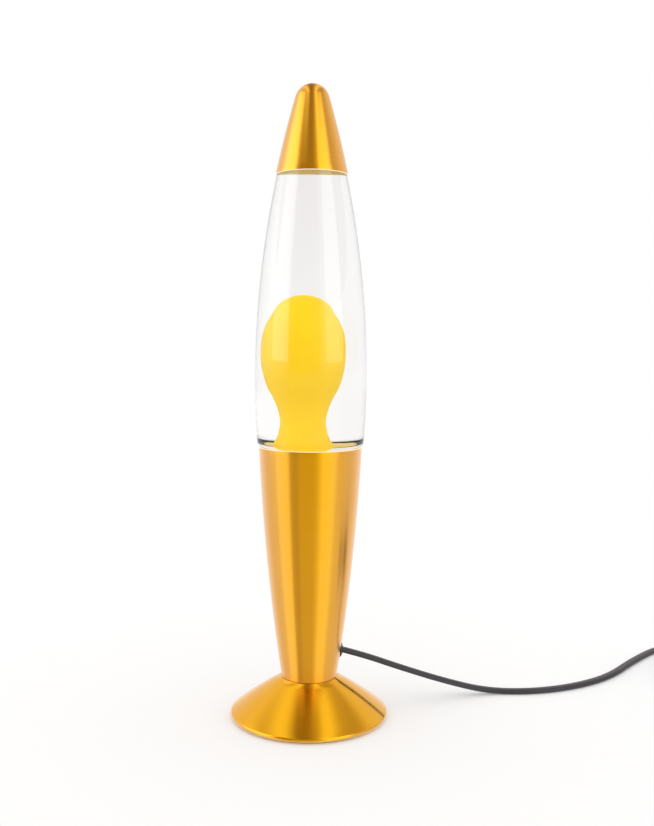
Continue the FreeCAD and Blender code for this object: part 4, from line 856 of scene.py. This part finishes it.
BOTTLE_OUTSIDE = outline(
    (0.0, 116.0), (18.6, 116.0, 5.0, LEFT), (23.6, 121.0), (SHOULDER_CENTRE, 147.759, 3.6, LEFT),
    (28.774, SEAT_Z, 400.0, LEFT), (BOTTLE_RADIUS, BOTTLE_WAIST_Z, BOTTLE_UPPER, LEFT),
    (upper_radius(NECK_TURN_Z), NECK_TURN_Z, 7.0, LEFT), (12.6, 298.8), (12.6, 300.0),
    (13.0, 300.2, 0.4, LEFT), (13.3, 300.6), (13.3, 303.5, 0.5, LEFT), (12.8, 304.0), (8.4, 304.0, 0.4, LEFT),
)
BOTTLE_INSIDE = outline(
    (8.0, 303.6), (8.0, 298.8, 9.8, RIGHT),
    (upper_radius(INNER_TURN_Z, BOTTLE_WALL), INNER_TURN_Z, BOTTLE_UPPER - BOTTLE_WALL, RIGHT),
    (BOTTLE_RADIUS - BOTTLE_WALL, BOTTLE_WAIST_Z, 397.8, RIGHT), (26.574, SEAT_Z, 14.4, RIGHT),
    (SHOULDER_CENTRE - BOTTLE_WALL, 147.759), (21.4, 121.0, 2.8, RIGHT), (18.6, 118.2), (0.0, 118.2),
)
WAX_OUTLINE = outline(
    (0.0, 118.25), (7.4, 118.25), (7.4, 120.15), (18.2, 120.15), (18.2, 118.3), (18.6, 118.3, 2.7, LEFT),
    (21.3, 121.0), (22.15, 135.6, 0.5, LEFT), (21.7, 136.0, 34.0, RIGHT), (12.4, 149.0, 34.0, RIGHT),
    (9.1, 163.0, 45.0, RIGHT), (14.0, 179.0, 62.0, LEFT), (17.4, 202.0, 33.0, LEFT),
    (12.6, 219.0, 13.14, LEFT), (0.0, 228.4),
)
CAP_OFFSET, CAP_WALL, CAP_DOME = 0.6, 0.5, 9.388
CAP_RIM_Z, CAP_TOP_Z, BODY_RIM_Z = 292.3, 340.0, 148.1
BULB_FLANK = outline(
    (6.3, 50.2), (6.3, 58.9, 42.0, RIGHT), (19.5, 92.4), (18.8, 92.4, 42.7, LEFT), (5.6, 58.9), (5.6, 50.2),
)
BULB_CROWN = outline(
    (19.5, 92.4, 25.6, LEFT), (0.0, 101.4), (0.0, 100.7, 24.9, RIGHT), (18.8, 92.4),
)


def cap_outline() -> Tuple[Corner, ...]:
    """The cap's section: an arc parallel to the bottle's, met by a dome whose centre is on the axis.

    With the big arc's centre at (-a, w) and radius R, and the dome's at (0, c) and radius r, the arcs touch where
    the line through both centres meets them, since R - r is the distance between the centres.

    Returns:
        The corners, outside first.
    """
    outer = BOTTLE_UPPER + CAP_OFFSET
    aside = BOTTLE_UPPER - BOTTLE_RADIUS
    lift = CAP_TOP_Z - BOTTLE_WAIST_Z - CAP_DOME

    def on_arc(radius: float) -> Tuple[float, float]:
        """Where the arc of that radius meets the dome."""
        share = radius / (outer - CAP_DOME)
        return aside * (share - 1), BOTTLE_WAIST_Z + lift * share

    def at_rim(radius: float) -> float:
        """The arc's distance from the axis at the rim."""
        return math.sqrt(radius ** 2 - (CAP_RIM_Z - BOTTLE_WAIST_Z) ** 2) - aside

    inner = outer - CAP_WALL
    return outline(
        (at_rim(inner), CAP_RIM_Z), (at_rim(outer) - 0.3, CAP_RIM_Z, 0.32, LEFT),
        (at_rim(outer) - 0.02, CAP_RIM_Z + 0.3, outer, LEFT), (*on_arc(outer), CAP_DOME, LEFT), (0.0, CAP_TOP_Z),
        (0.0, CAP_TOP_Z - CAP_WALL, CAP_DOME - CAP_WALL, RIGHT), (*on_arc(inner), inner, RIGHT),
    )


# ---------------------------------------------------------------- the pieces


class Builder:
    """Puts finished pieces on the frame's bodies."""

    def __init__(self) -> None:
        """Starts with no materials made."""
        self.materials: Dict[str, bpy.types.Material] = {}

    def made(self, finish: Finish) -> bpy.types.Material:
        """A finish's material, built the first time that it is asked for."""
        if finish.name not in self.materials:
            self.materials[finish.name] = finish.material()
        return self.materials[finish.name]

    def coated(self, piece: bpy.types.Object, finish: Finish) -> None:
        """Gives a piece one finish all over."""
        material = self.made(finish)
        piece.data.materials.clear()
        piece.data.materials.append(material)

    def add(self, piece: bpy.types.Object, finish: Finish, body: str, *nodes: str) -> bpy.types.Object:
        """Puts a piece on a body in place of the CAD nodes it stands for.

        Args:
            piece: the object.
            finish: its finish.
            body: the body it moves with.
            nodes: the CAD nodes that it stands for.

        Returns:
            The piece.
        """
        self.coated(piece, finish)
        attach(piece, body)
        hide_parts(*nodes)
        LOG.info("%s: %d faces, for %s", piece.name, len(piece.data.polygons), ", ".join(nodes))
        return piece

    @staticmethod
    def faces(piece: bpy.types.Object) -> Tuple[Array, Array]:
        """The middles and the normals of a piece's faces, in metres."""
        polygons = piece.data.polygons
        centre, normal = (np.zeros(len(polygons) * 3, np.float32) for _ in range(2))
        polygons.foreach_get("center", centre)
        polygons.foreach_get("normal", normal)
        return centre.reshape(-1, 3), normal.reshape(-1, 3)

    def refaced(self, piece: bpy.types.Object, finish: Finish, chosen: Array) -> None:
        """Gives the chosen faces of a piece a further finish."""
        material = self.made(finish)
        index = np.zeros(len(piece.data.polygons), np.int32)
        piece.data.polygons.foreach_get("material_index", index)
        index[chosen] = len(piece.data.materials)
        piece.data.materials.append(material)
        piece.data.polygons.foreach_set("material_index", index)

    def paint_light_inside(self, piece: bpy.types.Object, finish: Finish) -> None:
        """Gives the faces that look towards the axis a second finish, a pale glow that paints in light on the inside.
        """
        centre, normal = self.faces(piece)
        inward = np.sum(centre[:, :2] * normal[:, :2], axis=1) < -0.1 * np.hypot(centre[:, 0], centre[:, 1])
        self.refaced(piece, finish, inward)

    def edge(self, piece: bpy.types.Object, finish: Finish, low: float, high: float) -> None:
        """Gives the faces between two heights, in mm, a pale glowing finish that paints a highlight on a rim."""
        height = self.faces(piece)[0][:, 2] / MM
        self.refaced(piece, finish, (height > low) & (height < high))

    def dress(self) -> None:
        """Gives the CAD nodes that stay their finishes."""
        for finish, nodes in CAD_FINISHES:
            for node in nodes:
                self.coated(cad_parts[node], finish)
            LOG.info("%s on %s", finish.name, ", ".join(nodes))


def liquid_piece() -> bpy.types.Object:
    """The liquid: the bottle's inside up to its level, reaching a hair into the glass so that no air lies between."""
    inside = traced(BOTTLE_INSIDE)[::-1]
    level, film, floor_top = 296.0 * MM, 0.05 * MM, 121.0 * MM
    below = inside[inside[:, 1] < level]
    edge = np.interp(level, inside[:, 1], inside[:, 0])
    below = np.concatenate([below, [[edge, level]]])
    below[:, 0] += np.where(below[:, 0] > 0, film, 0)
    below[:, 1] -= np.where(below[:, 1] < floor_top, film, 0)
    return grid_piece("liquid_fill", turned_grid(np.concatenate([below, [[0.0, level]]])))


def wax_piece() -> bpy.types.Object:
    """The wax: the pool and the column that rises from it, which leans and is not quite round.

    Points move by -lean * smoothstep((z - low) / span) in x, and the radius is scaled by
    1 + out * sin(2 a + z / span) above the pool.

    Returns:
        The new object.
    """
    low, span, out, lean = 0.137, 0.012, 0.018, 0.0031
    grid = turned_grid(traced(WAX_OUTLINE))
    rise = smoothstep((grid[..., 2] - low) / span)
    angle = np.arctan2(grid[..., 1], grid[..., 0])
    swell = 1 + rise * out * np.sin(2 * angle + grid[..., 2] / span)
    grid[..., 0] = grid[..., 0] * swell - lean * rise
    grid[..., 1] *= swell
    return grid_piece("wax_column", grid)


def crown_piece() -> bpy.types.Object:
    """The crown closure with its fluted skirt: the radius is scaled by 1 + depth * share * cos(flutes a)."""
    flutes, steps, depth, skirt_top, skirt = 21, 252, 0.022, 304.0 * MM, 5.0 * MM
    section = traced(outline(
        (0.0, 304.6), (13.1, 304.6, 0.5, RIGHT), (13.55, 304.1), (13.75, 301.0), (14.1, 298.9), (14.4, 298.9),
        (14.05, 301.0), (13.85, 304.1, 0.8, LEFT), (13.1, 304.9), (0.0, 304.9),
    ))
    grid = turned_grid(section, steps)
    angle = np.arctan2(grid[..., 1], grid[..., 0])
    share = np.clip((skirt_top - grid[..., 2]) / skirt, 0, 1)
    wave = 1 + depth * share * np.cos(flutes * angle)
    grid[..., :2] *= wave[..., None]
    return grid_piece("crown_closure", grid)


def bulb_cap_piece() -> bpy.types.Object:
    """The bulb's screw cap, with a rolled thread pressed in it."""
    low, high, radius, wall, count = 39.2, 58.2, 6.9, 0.3, 60
    depth, pitch, first, last = 0.35 * MM, 2.82 * MM, 41.5 * MM, 55.0 * MM
    outside = np.stack([np.full(count, radius), np.linspace(low, high, count)], axis=1)
    inside = np.stack([np.full(count, radius - wall), np.linspace(high, low, count)], axis=1)
    rows = np.concatenate([outside, inside]) * MM
    return grid_piece("bulb_screw_cap", threaded_grid(rows, depth, pitch, first, last), closed_rows=True)


def filament_piece() -> bpy.types.Object:
    """The filament: a fine straight coil from one lead to the other."""
    coil_radius, wire_radius, turns = 0.00035, 0.00008, 34
    low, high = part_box("bulb_filament")
    z = (low.z + high.z) / 2
    half = max(abs(low.x), abs(high.x))
    wire = helix(coil_radius, turns, np.array([-half, 0, z]), np.array([half, 0, z]), UP, 12)
    return wire_piece("filament_coil", wire, wire_radius, 6)


# ---------------------------------------------------------------- the cord

CORD_WIDTH, CORD_THICKNESS, CORD_LENGTH = 0.0050, 0.0030, 1.45
CORD_EXIT: Point = (0.01644, 0.00766, 0.03432)
CORD_LEAD = (
    CORD_EXIT, (0.0300, 0.0126, 0.0294), (0.0520, 0.0176, 0.0203), (0.0780, 0.0250, 0.0100), (0.1040, 0.0320, 0.0015),
    (0.1300, 0.0306, 0.0015), (0.1580, 0.0395, 0.0015), (0.1840, 0.0570, 0.0015), (0.2070, 0.0860, 0.0015),
    (0.2340, 0.1140, 0.0015), (0.2555, 0.1186, 0.0015), (0.2750, 0.1107, 0.0020), (0.2860, 0.0950, 0.0040),
    (0.2860, 0.0802, 0.0060),
)
CORD_LINK = ((0.2860, 0.0520, 0.0060), (0.2860, 0.0238, 0.0060), (0.2862, 0.0099, 0.0046))
CORD_TAIL = ((0.2302, 0.0068, 0.0070), (0.2356, 0.0175, 0.0060), (0.2400, 0.0280, 0.00685))
HANK_CENTRE = (0.2555, -0.0160)
HANK_WIDE, HANK_NARROW = 0.0325, 0.0240
HANK_LOW, HANK_HIGH = 0.0031, 0.0082
HANK_FIRST, HANK_TURNS, HANK_LAYER_TURNS = math.radians(22.0), 5.625, 2.72
POINTS_PER_TURN = 24
CORD_SPACING = 0.002
EDGE_ON, EDGE_OFF = 0.035, 0.022
CORE_RADIUS, CORE_POINTS = 0.0009, 24


def hank_points() -> Array:
    """The wound turns: a spiral that winds in along the floor, climbs a layer, and winds out again on top.

    At t turns the angle is a0 - 2 pi t. The radius falls evenly from wide to narrow over the lower layer and rises
    again over the upper one, and the height climbs by smoothstep over a sixth of a turn between them.

    Returns:
        The centreline's points.
    """
    turn = np.arange(0, HANK_TURNS + 1e-9, 1 / POINTS_PER_TURN)
    angle = HANK_FIRST - 2 * math.pi * turn
    upper = HANK_TURNS - HANK_LAYER_TURNS
    inward = np.interp(turn, [0, HANK_LAYER_TURNS, HANK_LAYER_TURNS + upper], [0, 1, 0])
    radius = HANK_WIDE + (HANK_NARROW - HANK_WIDE) * inward
    climb = smoothstep((turn - HANK_LAYER_TURNS + 1 / 12) * 6)
    height = HANK_LOW + (HANK_HIGH - HANK_LOW) * climb
    x = HANK_CENTRE[0] + radius * np.cos(angle)
    y = HANK_CENTRE[1] + radius * np.sin(angle)
    return np.stack([x, y, height], axis=1)


def spline_points(route: Array) -> Array:
    """Points read back from a smooth spline through a route.

    Args:
        route: the spline's own points.

    Returns:
        The spline's line, finely divided.
    """
    curve = bpy.data.curves.new("cord_route", "CURVE")
    curve.dimensions = "3D"
    curve.resolution_u = 8
    spline = curve.splines.new("NURBS")
    spline.points.add(len(route) - 1)
    spline.points.foreach_set("co", np.column_stack([route, np.ones(len(route))]).astype(np.float32).ravel())
    spline.order_u = 3
    spline.use_endpoint_u = True
    holder = bpy.data.objects.new("cord_route", curve)
    mesh = bpy.data.meshes.new_from_object(holder)
    line = np.zeros(len(mesh.vertices) * 3, np.float32)
    mesh.vertices.foreach_get("co", line)
    bpy.data.objects.remove(holder)
    return line.reshape(-1, 3).astype(float)


def cord_piece() -> Tuple[bpy.types.Object, Array]:
    """The flat cord from the lamp's body to the plug.

    It lies flat on the floor, and turns on edge between the switch and the hank: its wide direction is
    cos(b) across + sin(b) up, where b goes from 0 to 90 degrees by smoothstep, and back after the hank.

    Returns:
        The cord, and the line that it follows.
    """
    hank = hank_points()
    route = np.concatenate([np.array(CORD_LEAD), np.array(CORD_LINK), hank, np.array(CORD_TAIL)])
    line = evenly(spline_points(route), CORD_SPACING)
    run = along_lengths(line)
    way = tangents(line)
    across = np.cross(way, UP)
    across /= np.linalg.norm(across, axis=1, keepdims=True)
    start = run[np.argmin(np.linalg.norm(line - np.array(CORD_LINK[1]), axis=1))]
    leave = run[np.argmin(np.linalg.norm(line - hank[-1], axis=1))]
    edge = smoothstep((run - start) / EDGE_ON) * (1 - smoothstep((run - leave) / EDGE_OFF))
    turn = (edge * math.pi / 2)[:, None]
    wide = np.cos(turn) * across + np.sin(turn) * UP
    grid = swept_grid(line, stadium(CORD_WIDTH, CORD_THICKNESS), wide)
    return grid_piece("flat_cord", grid, capped=True), line


def tie_piece() -> bpy.types.Object:
    """The band round the hank: a strip carried round a rounded box in the YZ plane."""
    low_y, high_y, low_z, high_z = -0.0511, -0.0375, 0.0003, 0.0113
    corner, half_width, half_wall = 0.0025, 0.004, 0.0003
    quarter = np.linspace(0, math.pi / 2, 7)
    centres = ((high_y - corner, high_z - corner), (low_y + corner, high_z - corner),
               (low_y + corner, low_z + corner), (high_y - corner, low_z + corner))
    normal = np.concatenate([np.stack([np.cos(quarter + k * math.pi / 2), np.sin(quarter + k * math.pi / 2)], axis=1)
                             for k in range(4)])
    loop = np.repeat(np.array(centres), len(quarter), axis=0) + corner * normal
    ring = []
    for side, lift in ((-1, -1), (1, -1), (1, 1), (-1, 1)):
        x = np.full((len(loop), 1), HANK_CENTRE[0] + side * half_width)
        ring.append(np.concatenate([x, loop + normal * half_wall * lift], axis=1))
    return grid_piece("hank_tie", np.stack(ring, axis=1), closed_rows=True)


def core_piece(name: str, node: str, sag: float) -> bpy.types.Object:
    """An insulated core between the ends of a CAD wire, with a small bend in it.

    Args:
        name: the object's name.
        node: the CAD node it stands for.
        sag: how far its middle drops.

    Returns:
        The new object.
    """
    low, high = (np.array(c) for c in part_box(node))
    low, high = low + CORE_RADIUS, high - CORE_RADIUS
    first, last = (high, low) if node == "inner_cord" else (low, high)
    start = np.array([high[0], high[1], first[2]])
    end = np.array([low[0], low[1], last[2]])
    share = np.linspace(0, 1, CORE_POINTS)[:, None]
    line = start + share * (end - start)
    line[:, 2] -= sag * np.sin(math.pi * share[:, 0])
    return wire_piece(name, line, CORE_RADIUS)


# ---------------------------------------------------------------- the stage


@dataclass(frozen=True)
class Band:
    """One stop of the light: a bearing in degrees from the camera, + to the right, and its strength.

    Overhead, where a bearing means little, the place across the lamp, -1 to 1, stands in for it, times 180.
    """

    bearing: float
    strength: float


def bands(*rows: Tuple[float, float]) -> Tuple[Band, ...]:
    """Bands from rows of (bearing, strength), in rising order of their bearings."""
    return tuple(Band(*row) for row in rows)


PEAK = 2.0
HIGH_BANDS = bands(
    (-180, 0.9), (-128, 0.92), (-112, 1.1), (-102, 1.7), (-60, 1.8), (-48, 0.6), (-36, 0.36), (4, 0.38),
    (16, 0.6), (26, 1.5), (58, 1.6), (72, 0.6), (92, 0.72), (120, 0.86), (180, 0.9),
)
LOW_BANDS = bands(
    (-180, 1.0), (-140, 0.95), (-112, 0.82), (-88, 0.88), (-80, 1.1), (-52, 1.1), (-46, 0.6), (-32, 0.56),
    (-24, 0.68), (10, 0.7), (22, 0.9), (29, 1.12), (56, 1.1), (66, 0.86), (108, 0.8), (140, 0.95), (180, 1.0),
)
TOP_BANDS = bands(
    (-180, 0.56), (-115, 0.62), (-95, 0.74), (-84, 1.12), (-62, 1.12), (-45, 0.66), (-36, 0.3), (-4, 0.3),
    (26, 0.6), (40, 1.1), (62, 1.12), (74, 0.66), (88, 0.52), (180, 0.52),
)


class Studio:
    """The camera, the light and the floor."""

    LENS, SENSOR = 42.96, 36.0
    EYE = (0.0, -0.530, 0.2044)
    YAW, PITCH, ROLL = math.radians(0.953), math.radians(4.12), math.radians(0.40)
    STRIP_BEARINGS, STRIP_SIZE, STRIP_POWER = (-66.0, 49.0), (1.05, 1.2), 16.0
    STRIP_AWAY, STRIP_UP = 1.5, 0.82
    HORIZON, OVERHEAD = (-0.03, 0.03), (0.62, 0.74)
    FLOOR_HALF = 12.0

    def camera(self) -> None:
        """Places the camera by its yaw, pitch and roll."""
        data = bpy.data.cameras.new("view")
        data.lens, data.sensor_width = self.LENS, self.SENSOR
        data.clip_start, data.clip_end = 0.01, 100.0
        camera = linked("view", data)
        way = Vector((math.sin(self.YAW) * math.cos(self.PITCH), math.cos(self.YAW) * math.cos(self.PITCH),
                      -math.sin(self.PITCH)))
        level = Vector((math.cos(self.YAW), -math.sin(self.YAW), 0))
        over = level.cross(way)
        right = level * math.cos(self.ROLL) + over * math.sin(self.ROLL)
        top = over * math.cos(self.ROLL) - level * math.sin(self.ROLL)
        turn = Matrix((right, top, -way)).transposed().to_4x4()
        camera.matrix_world = Matrix.Translation(self.EYE) @ turn
        bpy.context.scene.camera = camera

    @staticmethod
    def ramp(make: Shader, share: bpy.types.NodeSocket, bands: Sequence[Band]) -> bpy.types.NodeSocket:
        """A colour ramp with one stop for each band, read at a share of the full circle."""
        node = make.node("ShaderNodeValToRGB", {0: share})
        stops = node.color_ramp.elements
        stops.remove(stops[1])
        for i, band in enumerate(bands):
            position = (band.bearing + 180) / 360
            stop = stops.new(position) if i else stops[0]
            warm = min(band.strength, band.strength ** 1.25)
            stop.color = (band.strength / PEAK, warm / PEAK, warm / PEAK, 1)
        return node.outputs[0]

    def world(self) -> None:
        """A white room to the eye and to matt surfaces; to mirrors, softboxes and dark gaps by their bearing."""
        world = bpy.data.worlds.new("room")
        world.use_nodes = True
        bpy.context.scene.world = world
        make = Shader(world.node_tree)
        background = next(n for n in make.tree.nodes if n.type == "BACKGROUND")
        where = make.node("ShaderNodeTexCoord").outputs["Generated"]
        split = make.node("ShaderNodeSeparateXYZ", {0: where})
        bearing = make.math("ARCTAN2", split.outputs[0], make.math("MULTIPLY", split.outputs[1], -1.0))
        share = make.math("ADD", make.math("DIVIDE", bearing, 2 * math.pi), 0.5)
        high, low = self.ramp(make, share, HIGH_BANDS), self.ramp(make, share, LOW_BANDS)
        aside = make.math("ADD", make.math("MULTIPLY", split.outputs[0], 0.5), 0.5)
        top = self.ramp(make, aside, TOP_BANDS)
        above, overhead = (make.node("ShaderNodeMapRange", {"Value": split.outputs[2], "From Min": low_end,
                                                            "From Max": high_end})
                           for low_end, high_end in (self.HORIZON, self.OVERHEAD))
        mirror = make.mixed(overhead.outputs[0], make.mixed(above.outputs[0], low, high), top)
        light = make.node("ShaderNodeLightPath")
        shown = make.mixed(light.outputs["Is Glossy Ray"], (1.0, 1.0, 1.0), mirror)
        make.link(shown, background.inputs["Color"])
        strength = make.math("ADD", make.math("MULTIPLY", light.outputs["Is Glossy Ray"], PEAK - 1.0), 1.0)
        make.link(strength, background.inputs["Strength"])

    def strips(self, glass: Sequence[bpy.types.Object]) -> None:
        """Two softboxes that only the glass mirrors."""
        seen_by = bpy.data.collections.new("glass_light")
        for piece in glass:
            seen_by.objects.link(piece)
        for bearing in self.STRIP_BEARINGS:
            data = bpy.data.lights.new("strip", "AREA")
            data.shape, data.energy = "RECTANGLE", self.STRIP_POWER
            data.size, data.size_y = self.STRIP_SIZE
            light = linked("strip", data)
            angle = math.radians(bearing)
            light.location = (self.STRIP_AWAY * math.sin(angle), -self.STRIP_AWAY * math.cos(angle), self.STRIP_UP)
            aim = Vector((0, 0, self.STRIP_UP)) - light.location
            light.rotation_mode = "QUATERNION"
            light.rotation_quaternion = aim.to_track_quat("-Z", "Y")
            light.visible_camera = light.visible_transmission = light.visible_diffuse = False
            light.light_linking.receiver_collection = seen_by

    def floor(self) -> None:
        """A wide pale floor that takes a faint shadow and isn't mirrored."""
        mesh = bpy.data.meshes.new("floor")
        size = self.FLOOR_HALF
        mesh.from_pydata([(-size, -size, 0), (size, -size, 0), (size, size, 0), (-size, size, 0)], [], [(0, 1, 2, 3)])
        floor = linked("floor", mesh)
        material = bpy.data.materials.new("floor")
        material.use_nodes = True
        principled = next(n for n in material.node_tree.nodes if n.type == "BSDF_PRINCIPLED")
        Finish.set(principled, {"Base Color": (0.82, 0.82, 0.82), "Roughness": 1.0, "Specular IOR Level": 0.0,
                                "Emission Color": (1.0, 1.0, 1.0), "Emission Strength": 0.19})
        mesh.materials.append(material)
        floor.visible_glossy = False


def main() -> None:
    """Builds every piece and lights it."""
    logging.basicConfig(level=logging.INFO, format="%(name)s: %(message)s")
    studio = Studio()
    studio.camera()
    build = Builder()
    build.dress()
    cord, line = cord_piece()
    build.add(cord, SHEATH, "base", "cord_lead", "cord_link", "cord_coil", "cord_tail")
    tie = build.add(tie_piece(), TIE, "base", "coil_tie")
    build.add(core_piece("sheath_end", "inner_cord", 0.0), SHEATH, "base", "inner_cord")
    build.add(core_piece("live_core", "live_wire", 0.0006), BROWN_CORE, "base", "live_wire")
    build.add(core_piece("neutral_core", "neutral_wire", 0.0006), BLUE_CORE, "base", "neutral_wire")
    build.add(turned_piece("foot_spinning", FOOT_OUTLINE, closed=True), GOLD, "base", "foot")
    body = build.add(turned_piece("body_spinning", BODY_OUTLINE, closed=True), GOLD, "base", "body_shell")
    cap = build.add(turned_piece("cap_spinning", cap_outline(), closed=True), GOLD, "cap", "cap")
    # Painted light: the inner faces of body and cap glow pale.
    build.paint_light_inside(body, PAINTED_INSIDE_LIGHT)
    build.paint_light_inside(cap, PAINTED_INSIDE_LIGHT)
    # Painted highlight on the body's and cap's rims.
    build.edge(body, EDGE, BODY_RIM_Z - 0.3, BODY_RIM_Z + 0.1)
    build.edge(cap, EDGE, CAP_RIM_Z - 0.1, CAP_RIM_Z + 0.28)
    glass = build.add(turned_piece("bottle_blown", BOTTLE_OUTSIDE + BOTTLE_INSIDE), GLASS, "bottle", "bottle")
    build.add(liquid_piece(), LIQUID, "bottle", "liquid")
    build.add(wax_piece(), WAX, "bottle", "wax")
    build.add(crown_piece(), TIN, "bottle", "crown_cap")
    build.add(turned_piece("bulb_mirror", BULB_FLANK, closed=True), SILVER, "bulb", "bulb_glass")
    build.add(turned_piece("bulb_front", BULB_CROWN, closed=True), BULB_FACE, "bulb", "bulb_glass")
    build.add(bulb_cap_piece(), NICKEL, "bulb", "bulb_cap")
    build.add(filament_piece(), TUNGSTEN, "bulb", "bulb_filament")
    studio.world()
    studio.strips([glass])
    studio.floor()
    bpy.context.scene.view_settings.view_transform = "Standard"


if __name__ == "__main__":
    main()
